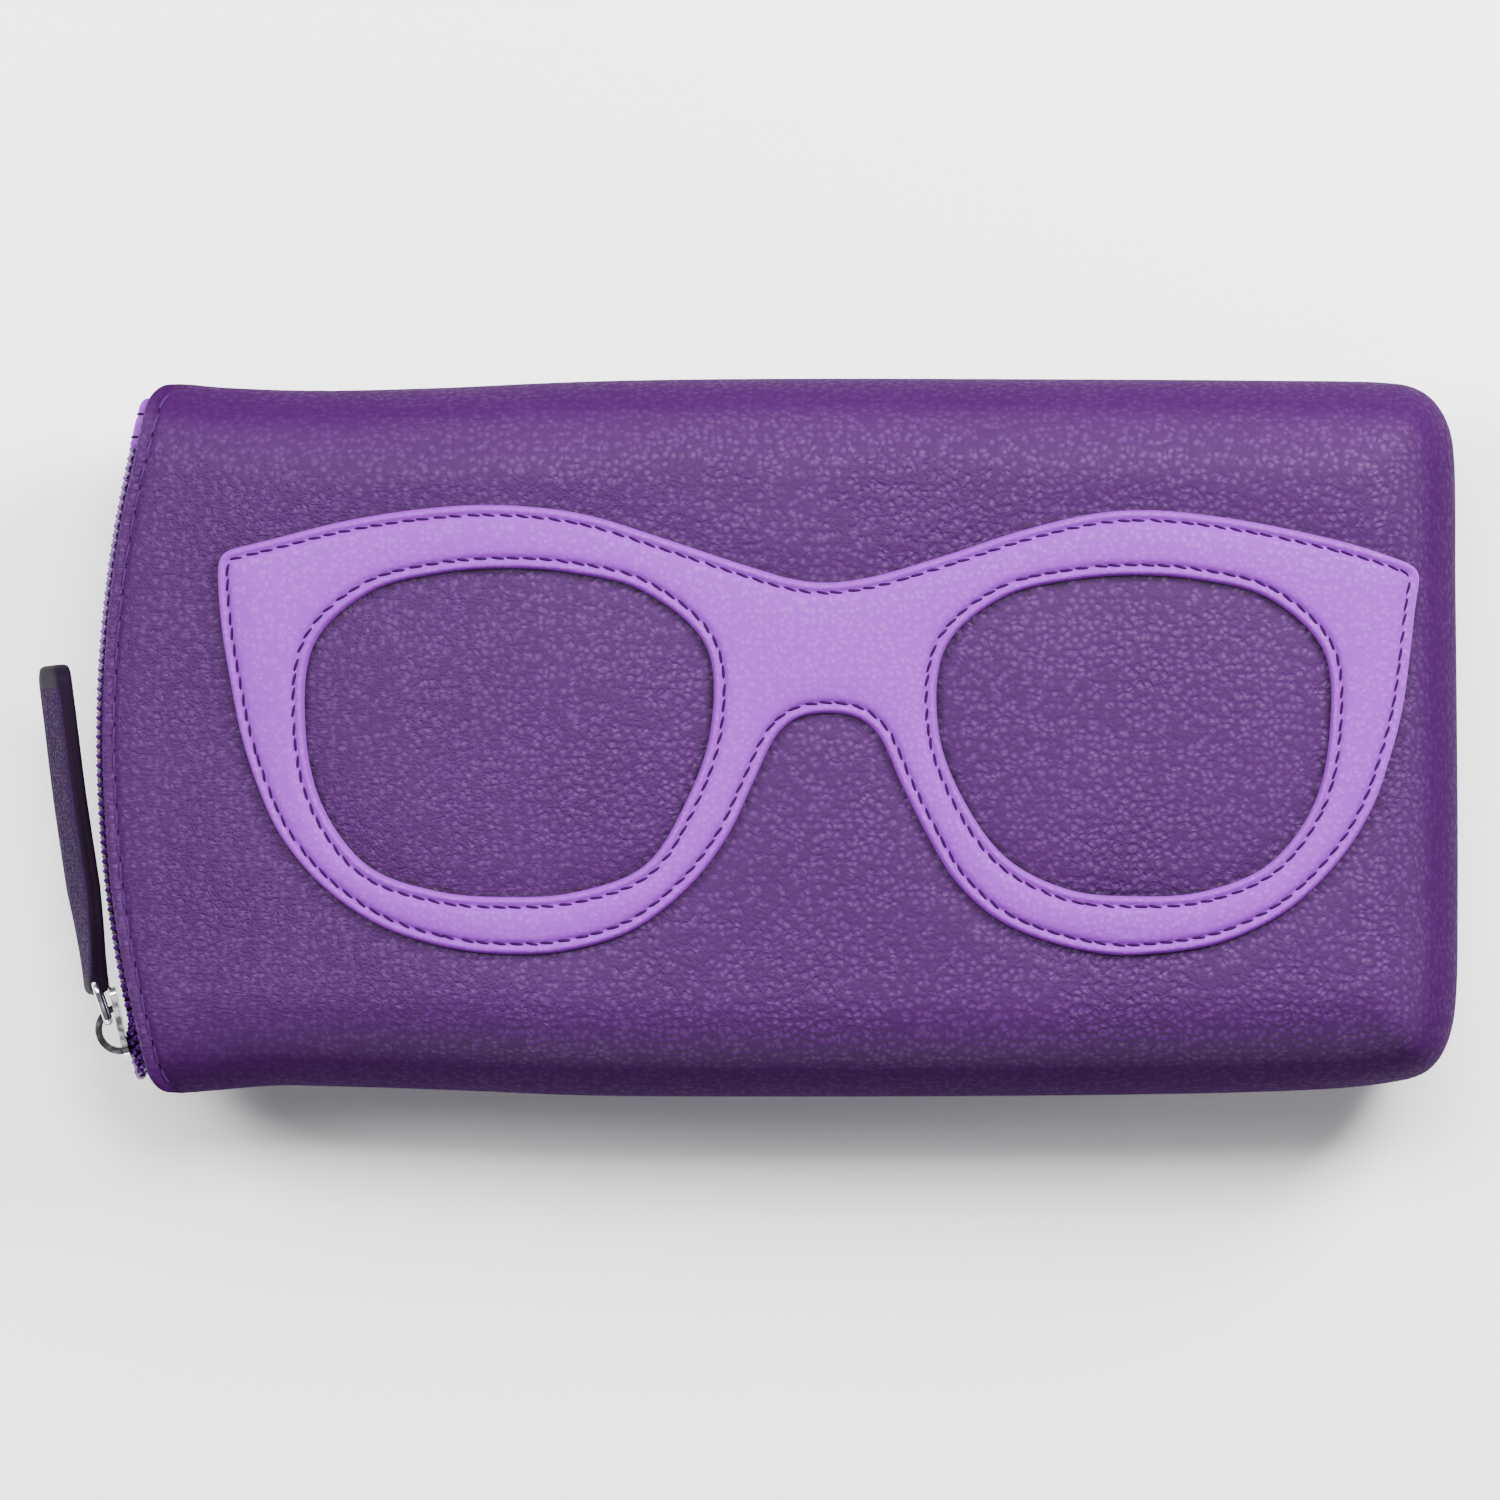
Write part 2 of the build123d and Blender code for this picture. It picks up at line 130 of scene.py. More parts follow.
RIGHT_LENS = [
    (71.7, 0.9), (70.9, 11.4), (63.8, 18.2), (54.7, 20.6), (46.5, 21.2), (38.4, 20.6),
    (29.2, 18.3), (21.8, 11.8), (20.9, 0.9), (24.3, -8.3), (29.9, -15.7), (38, -19.7),
    (46.5, -20.5), (55.2, -19.9), (63.8, -16.3), (69.6, -8.6),
]


# ---- curves and distances


def curve(points, count, closed=False):
    """A smooth line through the points, sampled evenly by length."""
    p = np.array(points, float)
    padded = np.vstack([p[-1], p, p[:2]]) if closed else np.vstack([2 * p[0] - p[1], p, 2 * p[-1] - p[-2]])
    spans = len(p) if closed else len(p) - 1
    t = np.linspace(0, 1, 24, endpoint=False)[:, None]
    out = []
    for i in range(spans):
        a, b, c, d = padded[i], padded[i + 1], padded[i + 2], padded[i + 3]
        lab, lbc, lcd = (max(np.linalg.norm(v), 1e-9) ** 0.5 for v in (b - a, c - b, d - c))
        mb = lbc * ((b - a) / lab - (c - a) / (lab + lbc) + (c - b) / lbc)
        mc = lbc * ((c - b) / lbc - (d - b) / (lbc + lcd) + (d - c) / lcd)
        h = 2 * t**3 - 3 * t**2 + 1, t**3 - 2 * t**2 + t, 3 * t**2 - 2 * t**3, t**3 - t**2
        out.append(h[0] * b + h[1] * mb + h[2] * c + h[3] * mc)
    line = np.vstack([*out, p[:1] if closed else p[-1:]])
    return resample(line, count, closed)


def run_along(line):
    """Length along a polyline at each of its points."""
    return np.concatenate([[0], np.cumsum(np.linalg.norm(np.diff(line, axis=0), axis=1))])


def at_length(at, run, values):
    """Values given along a polyline, read at other lengths along it."""
    return np.stack([np.interp(at, run, column) for column in values.T], axis=-1)


def resample(line, count, closed=False):
    """Evenly spaced points along a polyline; a closed one doesn't repeat its first point."""
    run = run_along(line)
    at = np.linspace(0, run[-1], count + 1)[:-1] if closed else np.linspace(0, run[-1], count)
    return at_length(at, run, line)


def nearest(points, line):
    """Index of the polyline's corner nearest to each point."""
    key = (line.shape, float(line[0, 0]), float(line[-1, 1]))
    if key not in TREES:
        tree = KDTree(len(line))
        for i, p in enumerate(line):
            tree.insert((p[0], p[1], 0.0), i)
        tree.balance()
        TREES[key] = tree
    find = TREES[key].find
    return np.array([find((p[0], p[1], 0.0))[1] for p in points.tolist()])


def distance(points, line, closed=False):
    """Distance from each point to a polyline: the nearest corner's two edges are measured."""
    near = nearest(points, line)
    out = np.full(len(points), np.inf)
    last = len(line) - 1
    for shift in (-1, 0):
        i = near + shift if closed else np.clip(near + shift, 0, last - 1)
        a, b = line[i % len(line)], line[(i + 1) % len(line)]
        d = b - a
        t = np.clip(((points - a) * d).sum(1) / np.maximum((d**2).sum(1), 1e-12), 0, 1)
        out = np.minimum(out, np.linalg.norm(points - a - t[:, None] * d, axis=1))
    return out


def inside(points, line):
    """Which points lie inside a closed polyline."""
    out = np.zeros(len(points), bool)
    x, y = points[:, 0], points[:, 1]
    for a, b in zip(line, np.roll(line, -1, axis=0)):
        crosses = (a[1] > y) != (b[1] > y)
        with np.errstate(divide="ignore", invalid="ignore"):
            out ^= crosses & (x < (b[0] - a[0]) * (y - a[1]) / (b[1] - a[1]) + a[0])
    return out


def outward(line):
    """Normals of a closed outline, pointing out of it."""
    along = unit(np.roll(line, -1, axis=0) - np.roll(line, 1, axis=0))
    x, y = line[:, 0], line[:, 1]
    turning = np.sign((x * np.roll(y, -1) - np.roll(x, -1) * y).sum())
    return np.stack([along[:, 1], -along[:, 0]], axis=1) * turning


def step(a, b, x):
    """Smooth rise from 0 at a to 1 at b, either way round."""
    t = np.clip((x - a) / (b - a), 0, 1)
    return t * t * (3 - 2 * t)


def bell(x, middle, width):
    """A smooth hump of height 1."""
    return np.exp(-(((x - middle) / width) ** 2))


def quarter_round(share):
    """Height of a quarter circle at a share of its width, 0 to 1."""
    return np.sqrt(np.maximum(1 - (1 - np.clip(share, 0, 1)) ** 2, 0))


def unit(v):
    """Vectors scaled to length 1."""
    return v / np.maximum(np.linalg.norm(v, axis=-1, keepdims=True), 1e-12)


def circle(count):
    """Angles evenly round a circle."""
    return np.linspace(0, 2 * math.pi, count, endpoint=False)


def squared(v):
    """Turns a sine or cosine into the side of a rounded rectangle."""
    return np.sign(v) * np.abs(v) ** 0.45


def rounded_tips(line, tips, reach):
    """Softens a closed outline near its sharp tips."""
    soft = line.copy()
    near = np.min([np.linalg.norm(line - np.array(t), axis=1) for t in tips], axis=0)
    share = (1 - step(reach * 0.7, reach * 1.6, near))[:, None]
    for _ in range(14):
        mean = (np.roll(soft, 1, axis=0) + np.roll(soft, -1, axis=0)) / 2
        soft = soft + share * 0.6 * (mean - soft)
    return soft


MOUTH_EDGE = curve(MOUTH_LINE[::-1], 400)  # from the lower corner to the upper one
SIDES = curve(LOWER_SIDE + LOWER_CORNER[1:] + CLOSED_END[1:] + UPPER_CORNER[1:] + UPPER_SIDE[1:], 900)
SHARP_EDGE = np.vstack([curve(BROW, 360)[:-1], curve(RIMS, 620)[:-1]])
SHARP_EDGE = resample(np.vstack([SHARP_EDGE, SHARP_EDGE[:1]]), 900, True)
APPLIQUE_EDGE = rounded_tips(SHARP_EDGE, [BROW[0], BROW[-1]], 1.6)
LENS_EDGES = [curve(LEFT_LENS, 300, True), curve(RIGHT_LENS, 300, True)]


# ---- the case's surface


def half_height(x):
    """Half the case's thickness along its length: flat, then sloping down to the mouth."""
    run, drop = TAPER_X - MOUTH_X, MID - MOUTH_HALF
    bend = (run**2 + drop**2) / (2 * drop)
    back = np.maximum(TAPER_X - x, 0)
    return MID - bend + np.sqrt(bend**2 - back**2)


def lumps(x, y, seed, size):
    """Slow, shallow unevenness of padded leather."""
    rng = np.random.default_rng(seed)
    total = np.zeros(np.shape(x))
    for _ in range(9):
        turn, wave = rng.uniform(0, 2 * math.pi), rng.uniform(22, 60)
        total += np.sin((x * math.cos(turn) + y * math.sin(turn)) * 2 * math.pi / wave + rng.uniform(0, 6.3))
    return size * total / 3


def surface(x, y, front):
    """Height of the leather's outer surface above or below the middle plane."""
    points = np.stack([x, y], axis=1)
    side = distance(points, SIDES)
    fall = quarter_round(side / ROUND)
    mouth = distance(points, MOUTH_EDGE)
    z = half_height(x) * fall
    ridge = 0.15 * bell(mouth, 0.3, 0.4)
    valley = 0.45 * bell(mouth, MOUTH_SEAM, 0.42)
    swell = 0.3 * bell(mouth, 4.0, 2.2)
    z += (ridge - valley + swell) * step(0.1, 3.0, side)
    if front:
        z += lumps(x, y, 3, 0.16) * fall + 0.35 * step(8, 40, side)
        outer = distance(points, APPLIQUE_EDGE, True)
        z -= 0.35 * bell(outer, 0, 2.6)
        for lens in LENS_EDGES:
            edge = distance(points, lens, True)
            within = inside(points, lens)
            z += np.where(within, 0.45 * (1 - bell(edge, 0, 7)), 0)
            z -= 0.3 * bell(edge, 0, 1.8)
    else:
        z -= np.abs(lumps(x, y, 5, 0.12)) * fall * step(2, 12, side)
    return z


def space(x, y, front, z):
    """Points at a height above the middle plane in front, or below it at the back."""
    return np.stack([x, y, MID + z if front else MID - z], axis=1)


def on_surface(points, front=True):
    """Positions and outward normals of the leather at points given in plan."""
    points = np.asarray(points, float)
    x, y = points[:, 0], points[:, 1]
    z = surface(x, y, front)
    e = 0.25
    zx = (surface(x + e, y, front) - surface(x - e, y, front)) / (2 * e)
    zy = (surface(x, y + e, front) - surface(x, y - e, front)) / (2 * e)
    normal = unit(np.stack([-zx, -zy, np.ones(len(x))], axis=1))
    if not front:
        normal[:, 2] *= -1
    return space(x, y, front, z), normal


# ---- meshes


def link(name, data):
    """A new object in the scene."""
    obj = bpy.data.objects.new(name, data)
    bpy.context.collection.objects.link(obj)
    return obj


def mesh(name, verts, faces, materials, index=None, **zones):
    """A mesh from millimetres, with its rest position kept for the materials."""
    data = bpy.data.meshes.new(name)
    verts = np.asarray(verts, float).reshape(-1, 3) * MM
    data.from_pydata(verts.tolist(), [], faces)
    rest = data.attributes.new("rest_co", "FLOAT_VECTOR", "POINT")
    rest.data.foreach_set("vector", verts.astype(np.float32).ravel())
    for zone, values in zones.items():
        attribute = data.attributes.new(zone, "FLOAT", "POINT")
        attribute.data.foreach_set("value", np.asarray(values, np.float32).ravel())
    for material in materials if isinstance(materials, list) else [materials]:
        data.materials.append(material)
    if index is not None:
        data.polygons.foreach_set("material_index", index)
    data.polygons.foreach_set("use_smooth", [True] * len(data.polygons))
    data.validate()
    data.update()
    return link(name, data)


def thicken(obj, thickness):
    """Gives a sheet its thickness, half to either side."""
    solid = obj.modifiers.new("thickness", "SOLIDIFY")
    solid.thickness, solid.offset = thickness * MM, 0


def quads(rows, cols, wrap_cols=False, start=0, flip=False):
    """Faces of a grid stored row by row."""
    faces = []
    for i in range(rows - 1):
        for j in range(cols if wrap_cols else cols - 1):
            near, far = start + i * cols, start + (i + 1) * cols
            following = (j + 1) % cols
            face = [near + j, near + following, far + following, far + j]
            faces.append(face[::-1] if flip else face)
    return faces


def capped(rows, cols, start=0, flip=False):
    """Faces of a tube of rings, with its two ends closed."""
    first = [start + j for j in range(cols)]
    last = [start + (rows - 1) * cols + j for j in range(cols)]
    return [*quads(rows, cols, wrap_cols=True, start=start, flip=flip), first, last[::-1]]


def tube(core, side, side_r, up, up_r, around):
    """Rings of points round a core, each with its own radius to the side and up."""
    turn = circle(around)[None, :, None]
    ring = np.cos(turn) * (side * side_r[:, None])[:, None] + np.sin(turn) * (up * up_r[:, None])[:, None]
    return core[:, None] + ring


def grid_normals(grid, front):
    """Normals, pointing out of the case, of a plan grid laid over its front or back."""
    normals = unit(np.cross(np.gradient(grid, axis=0), np.gradient(grid, axis=1)))
    return -normals if front else normals


def lift(obj):
    """Bends a front piece up at the mouth.

    The zip's halves stay joined at the mouth's two ends, so the bend's weights are scaled down there.
    """
    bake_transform(obj, "case", "front_lip", (-0.019, 0, 0), (-0.066, 0, 0))
    rest = np.array([v.co for v in obj.data.vertices], float) / MM
    weights = obj.data.attributes["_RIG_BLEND"]
    values = np.empty(len(rest), np.float32)
    weights.data.foreach_get("value", values)
    y = rest[:, 1]
    values *= step(-43.5, -17.0, y) * (1 - step(4.0, 31.0, y))
    weights.data.foreach_set("value", values)


# ---- materials


def linear(*channels):
    """A colour's linear values from its screen values, 0 to 255."""
    shares = [c / 255 for c in channels]
    return tuple(v / 12.92 if v <= 0.04 else ((v + 0.055) / 1.055) ** 2.4 for v in shares) + (1,)


class Nodes:
    """A small helper to build a material's nodes."""

    def __init__(self, name):
        self.material = bpy.data.materials.new(name)
        self.material.use_nodes = True
        self.tree = self.material.node_tree
        self.shader = self.tree.nodes["Principled BSDF"]

    def add(self, kind, inputs=None, **settings):
        """A new node, with its settings and inputs."""
        node = self.tree.nodes.new(kind)
        for key, value in settings.items():
            setattr(node, key, value)
        for key, value in (inputs or {}).items():
            self.set(node, key, value)
        return node

    def set(self, node, key, value):
        """Links an input to another node's output, or gives it a value."""
        if isinstance(value, bpy.types.NodeSocket):
            self.tree.links.new(value, node.inputs[key])
        else:
            node.inputs[key].default_value = value

    def place(self):
        """Rest position, in millimetres."""
        rest = self.add("ShaderNodeAttribute", attribute_name="rest_co").outputs["Vector"]
        return self.vector("SCALE", {0: rest, "Scale": 1 / MM})

    def vector(self, kind, inputs):
        """Arithmetic on vectors."""
        return self.add("ShaderNodeVectorMath", inputs, operation=kind).outputs[0]

    def noise(self, place, scale, detail=3, rough=0.5):
        """Cloudy noise, 0 to 1."""
        inputs = {"Vector": place, "Scale": scale, "Detail": detail, "Roughness": rough}
        return self.add("ShaderNodeTexNoise", inputs).outputs["Fac"]

    def math(self, kind, a, b, clamp=False):
        """Arithmetic on numbers."""
        return self.add("ShaderNodeMath", {0: a, 1: b}, operation=kind, use_clamp=clamp).outputs[0]

    def times(self, a, b):
        """The product of two numbers."""
        return self.math("MULTIPLY", a, b)

    def plus(self, a, b, clamp=False):
        """The sum of two numbers."""
        return self.math("ADD", a, b, clamp)

    def ramp(self, value, low, high, to_low=0.0, to_high=1.0):
        """A smooth change from one value to another."""
        return self.add(
            "ShaderNodeMapRange",
            {"Value": value, "From Min": low, "From Max": high, "To Min": to_low, "To Max": to_high},
            interpolation_type="SMOOTHSTEP",
        ).outputs[0]

    def mix(self, share, a, b):
        """Colour a, with a share of colour b."""
        node = self.add("ShaderNodeMix", data_type="RGBA")
        self.set(node, 0, share)
        self.set(node, 6, a)
        self.set(node, 7, b)
        return node.outputs[2]

    def look(self, values):
        """Sets the shader's inputs and gives the finished material."""
        for key, value in values.items():
            self.set(self.shader, key, value)
        return self.material

    def bump(self, height, depth, strength=1.0):
        """A normal from a height of that depth in millimetres."""
        inputs = {"Height": height, "Strength": strength, "Distance": depth * MM}
        return self.add("ShaderNodeBump", inputs).outputs[0]


def leather(name, colour, deep, glint_colour, pebble, depth, rough, spread=0.25, gloss=(0.1, 0.26), creased=0):
    """Leather with soft round pebbles of that size, fine creases between them and slow changes of tone.

    Its pebbles fade and it darkens as painted shade on the steep sides marked in the mesh, and it darkens
    with painted shade in the grooves along the applique.
    """
    n = Nodes(name)
    place = n.place()
    wander = n.add("ShaderNodeTexNoise", {"Vector": place, "Scale": 0.45, "Detail": 2.0}).outputs["Color"]
    shift = n.vector("SUBTRACT", {0: wander, 1: (0.5, 0.5, 0.5)})
    shift = n.vector("SCALE", {0: shift, "Scale": pebble * 1.1})
    moved = n.vector("ADD", {0: place, 1: shift})
    big = n.add("ShaderNodeTexVoronoi", {"Vector": moved, "Scale": 1 / pebble, "Randomness": 0.8})
    small = n.add("ShaderNodeTexVoronoi", {"Vector": moved, "Scale": 2.1 / pebble})
    dome = n.ramp(big.outputs["Distance"], 0, 0.78, 1, 0)
    fine = n.ramp(small.outputs["Distance"], 0, 0.75, 1, 0)
    stretched = n.add("ShaderNodeAttribute", attribute_name="stretched").outputs["Fac"]
    groove = n.add("ShaderNodeAttribute", attribute_name="groove").outputs["Fac"]
    zones = n.ramp(n.noise(place, 0.04, 2), 0.35, 0.65, 0.45, 1)
    zones = n.times(zones, n.ramp(stretched, 0, 1, 1, 0.08))
    along = n.add("ShaderNodeSeparateXYZ", {0: place}).outputs[0]
    coarse = n.ramp(along, -85, 20, 0.3, 1)
    grain = n.noise(place, 7, rough=0.6)
    fine_share = n.ramp(coarse, 0.3, 1, 0.5, 0.3)
    height = n.plus(n.times(dome, coarse), n.times(fine, fine_share))
    height = n.times(height, zones)
    height = n.plus(height, n.times(grain, 0.2))
    thin = n.vector("MULTIPLY", {0: place, 1: (0.6, 2.4, 2.4)})
    creases = n.times(n.noise(thin, 1), n.ramp(along, -85, -5, creased, 0))
    height = n.plus(height, creases)
    # Tone: darker in the creases between pebbles and lighter on their crowns, which is painted shade and
    # light, added to real tone that differs at random.
    tone = n.plus(n.times(dome, 0.35), n.times(fine, 0.12))
    tone = n.plus(tone, 0.1)
    tone = n.plus(tone, n.times(n.noise(place, 0.05), spread), clamp=True)
    tone = n.plus(tone, n.times(grain, 0.12), clamp=True)
    base = n.mix(tone, deep, colour)
    # Painted highlight: the crowns of the pebbles take the lighter glint colour in place of glints of light;
    # less of it toward the mouth, none on the steep sides.
    painted_glint_mask = n.times(n.ramp(dome, 0.15, 0.95), n.ramp(grain, 0.2, 0.65))
    painted_glint_mask = n.times(painted_glint_mask, n.times(coarse, n.ramp(stretched, 0, 0.8, 0.2, 0)))
    base = n.mix(painted_glint_mask, base, glint_colour)
    # Painted shade: the steep sides turn toward the deep colour.
    base = n.mix(n.times(stretched, 0.4), base, deep)
    # Painted shade: the leather darkens to this colour in the grooves along the applique.
    shade = tuple(c * 0.3 for c in deep[:3]) + (1,)
    return n.look({
        "Base Color": n.mix(n.times(groove, 0.8), base, shade),
        "Roughness": n.ramp(dome, 0, 1, rough + 0.14, rough),
        "Specular IOR Level": n.times(n.ramp(dome, 0.3, 1, *gloss), n.ramp(stretched, 0, 0.7, 1, 0.04)),
        "Normal": n.bump(height, depth),
    })


def cloth(name, colour, deep, pitch, depth, sheen):
    """Plain weave with a soft nap."""
    n = Nodes(name)
    place = n.place()
    inputs = {"Vector": place, "Scale": 0.314 / pitch, "Distortion": 0.6}
    warp, weft = (n.add("ShaderNodeTexWave", inputs, bands_direction=d).outputs["Fac"] for d in ("X", "Y"))
    weave = n.plus(n.times(warp, weft), n.times(n.noise(place, 3), 0.5))
    return n.look({
        "Base Color": n.mix(weave, deep, colour),
        "Roughness": 0.85,
        "Specular IOR Level": 0.1,
        "Sheen Weight": sheen,
        "Normal": n.bump(weave, depth),
    })


def plain(name, colour, rough, gloss, grain=0, depth=0.02):
    """One colour, uneven where a grain is asked for."""
    n = Nodes(name)
    place = n.place()
    cloud = n.noise(place, 1.2)
    values = {"Specular IOR Level": gloss, "Roughness": n.ramp(cloud, 0.3, 0.7, rough, rough + 0.1)}
    if grain:
        dark = tuple(c * 0.75 for c in colour[:3]) + (1,)
        colour = n.mix(cloud, dark, colour)
        values["Normal"] = n.bump(n.noise(place, grain), depth)
    return n.look({**values, "Base Color": colour})


def metal(name, colour, rough):
    """Bright plating with faint wear, and painted shade darkening its crevices. CAD nodes carry no rest
    position.
    """
    n = Nodes(name)
    place = n.add("ShaderNodeTexCoord").outputs["Object"]
    cloud = n.noise(place, 900)
    # Painted shade: crevices, where the AO finds little open air, turn dark grey.
    open_air = n.add("ShaderNodeAmbientOcclusion", {"Distance": 1.6 * MM}, samples=8).outputs["AO"]
    return n.look({
        "Base Color": n.mix(n.ramp(open_air, 0.35, 0.95), linear(38, 34, 42), colour),
        "Metallic": 1,
        "Roughness": n.ramp(cloud, 0.35, 0.7, rough, rough + 0.12),
        "Normal": n.bump(cloud, 0.01, 0.3),
    })


# Each leather's third colour is the painted highlight laid on the crowns of its pebbles.
PURPLE = leather(
    "purple_leather", linear(61, 20, 79), linear(40, 11, 51), linear(85, 42, 110),
    pebble=0.98, depth=0.21, rough=0.47, gloss=(0.12, 0.19), creased=0.9,
)
LILAC = leather(
    "lilac_leather", linear(122, 42, 160), linear(108, 33, 146), linear(136, 60, 172),
    pebble=0.85, depth=0.06, rough=0.5, spread=0.5,
)
STRAP = leather(
    "strap_leather", linear(42, 22, 55), linear(31, 15, 42), linear(54, 32, 68),
    pebble=0.5, depth=0.03, rough=0.5, gloss=(0.01, 0.05),
)
EDGE_PAINT = plain("edge_paint", linear(22, 12, 27), 0.5, 0.03, grain=1.5, depth=0.05)
THREAD = plain("thread", linear(40, 10, 58), 0.7, 0.05, grain=6, depth=0.05)
MOUTH_THREAD = plain("mouth_thread", linear(58, 22, 78), 0.6, 0.15, grain=6, depth=0.05)
# The applique's dark cut edge, which also serves as painted shadow inside the lens openings.
CUT_EDGE_AND_SHADOW = plain("cut_edge_and_shadow", linear(34, 8, 48), 0.8, 0.05, grain=2)
NEEDLE_HOLE_SHADE = plain("needle_hole_shade", linear(24, 5, 36), 0.9, 0)
TAPE = cloth("zip_tape", linear(50, 18, 72), linear(30, 8, 46), 0.45, 0.06, sheen=0)
COIL = plain("zip_coil", linear(80, 22, 112), 0.35, 0.3, grain=3)
LINING = cloth("lining_cloth", linear(84, 62, 106), linear(60, 42, 80), 0.35, 0.05, sheen=0.1)
BOARD = plain("board", linear(60, 44, 78), 0.9, 0.02)
CHROME = metal("chrome", linear(216, 216, 222), 0.1)


# ---- leather panels


def plan_grid(mouth_steps, side_steps, across, along):
    """A grid over the case's plan, blended from its four edges, with lines at the given distances in.

    Rows run from the lower side to the upper one, columns from the mouth to the closed end.
    """
    width, length = 93, 170

    def shares(first, last, count):
        return np.concatenate([first, np.linspace(first[-1], 1 - last[-1], count)[1:-1], 1 - last[::-1]])

    side_steps = np.array(side_steps)
    b = shares(side_steps / width, side_steps / width, across)
    a = shares(np.array(mouth_steps) / length, side_steps / length, along)

    def at(line, t):
        run = run_along(line)
        return at_length(t, run / run[-1], line)

    def turning_point(corner):
        return int(np.argmin(np.linalg.norm(SIDES - np.array(corner[len(corner) // 2]), axis=1)))

    lower, upper = turning_point(LOWER_CORNER), turning_point(UPPER_CORNER)
    low_line, end_line, up_line = SIDES[: lower + 1], SIDES[lower : upper + 1], SIDES[upper:][::-1]
    left, right, bottom, top = at(MOUTH_EDGE, b), at(end_line, b), at(low_line, a), at(up_line, a)
    u, v = a[None, :, None], b[:, None, None]
    ruled = (1 - u) * left[:, None] + u * right[:, None] + (1 - v) * bottom[None] + v * top[None]
    mouth_corners = (1 - u) * (1 - v) * left[0] + (1 - u) * v * left[-1]
    end_corners = u * (1 - v) * right[0] + u * v * right[-1]
    return ruled - (mouth_corners + end_corners)


# Distances in from the sides and from the mouth at which the leather's grid has a line.
SIDE_STEPS = [0, 0.01, 0.03, 0.08, 0.16, 0.3, 0.52, 0.85, 1.3, 1.9, 2.6, 3.4, 4.3, 5.3]
SIDE_STEPS += [6.4, 7.6, 8.9, 10.2, 11.6, 13, 14.2]
MOUTH_STEPS = [0, 0.3, 0.6, 0.9, 1.2, 1.5, 1.75, 2, 2.25, 2.5, 2.75, 3, 3.4, 3.9, 4.5, 5.2, 6, 7]


def panel(front):
    """One leather side of the case, with the rolled hem at its mouth. The front's grid is the finer one."""
    name = "front" if front else "back"
    across, length = (74, 150) if front else (40, 70)
    plan = plan_grid(MOUTH_STEPS, SIDE_STEPS, across, length)
    rows, cols = plan.shape[:2]
    flat = plan.reshape(-1, 2)
    z = surface(flat[:, 0], flat[:, 1], front)
    grid = space(flat[:, 0], flat[:, 1], front, z).reshape(rows, cols, 3)
    normals = grid_normals(grid, front)
    along = unit(np.gradient(SIDES, axis=0))
    sideways = np.stack([along[:, 1], -along[:, 0], np.zeros(len(SIDES))], axis=1)
    out_dir = sideways[nearest(flat, SIDES)].reshape(rows, cols, 3)
    pinch = bell(grid[..., 2], MID, 0.9) * 0.5
    x, y = grid[..., 0], grid[..., 1]
    waves = 0.85 + 0.15 * np.sin((x + y) * 0.9) + 0.1 * np.sin((x - y) * 2.1)
    away = step(1.5, 6.0, distance(flat, MOUTH_EDGE).reshape(rows, cols))
    grid = grid - out_dir * (pinch * waves * away)[..., None]

    # The seam allowance inside: each half's edge turns in and laps the other half's.
    grid[0, :, 2] = grid[-1, :, 2] = grid[:, -1, 2] = MID
    turned = np.array([0, 0, -0.4 if front else 0.4])
    lap = grid[:, -1] - out_dir[:, -1] * LAP + turned
    grid = np.concatenate([grid, lap[:, None]], axis=1)
    out_dir = np.concatenate([out_dir, out_dir[:, -1:]], axis=1)
    first, last = (grid[i] - out_dir[i] * LAP + turned for i in (0, -1))
    grid = np.concatenate([first[None], grid, last[None]])
    normals = np.pad(normals, ((1, 1), (0, 1), (0, 0)), mode="edge")

    # The hem: the edge rolls over and runs back inside.
    edge, inner = grid[:, 0], grid[:, 2]
    out = unit(edge - inner)
    up = unit(normals[:, 1] - (normals[:, 1] * out).sum(1)[:, None] * out)
    roll = []
    for turn in np.radians([30, 60, 90, 120, 150, 180]):
        roll.append(edge + HEM_R * math.sin(turn) * out - HEM_R * (1 - math.cos(turn)) * up)
    for back in (0.5, 2.0, 4.5, 7.0):
        roll.append(edge - 2 * HEM_R * up - back * out)
    grid = np.concatenate([np.stack(roll[::-1], axis=1), grid], axis=1)
    rows, cols = grid.shape[:2]
    flat = grid[..., :2].reshape(-1, 2)
    # Marks the steep sides, where the pebbles fade and the leather takes painted shade.
    stretched = 1 - step(0.5, 8.5, distance(flat, SIDES))
    # Painted shade in the grooves along the lens openings and the applique's edge.
    groove = np.zeros(len(flat))
    if front:
        for line in LENS_EDGES:
            groove = np.maximum(groove, 1 - step(0.25, 0.75, distance(flat, line, True)))
        groove = np.maximum(groove, 0.6 * (1 - step(0.2, 0.8, distance(flat, APPLIQUE_EDGE, True))))
    faces = quads(rows, cols, flip=front)
    obj = mesh(f"{name}_leather", grid, faces, PURPLE, stretched=stretched, groove=groove)
    if front:
        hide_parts("front_panel", "front_panel_lip", "front_padding", "front_padding_lip")
        lift(obj)
    else:
        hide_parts("back_panel", "back_padding")
        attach(obj, "case")


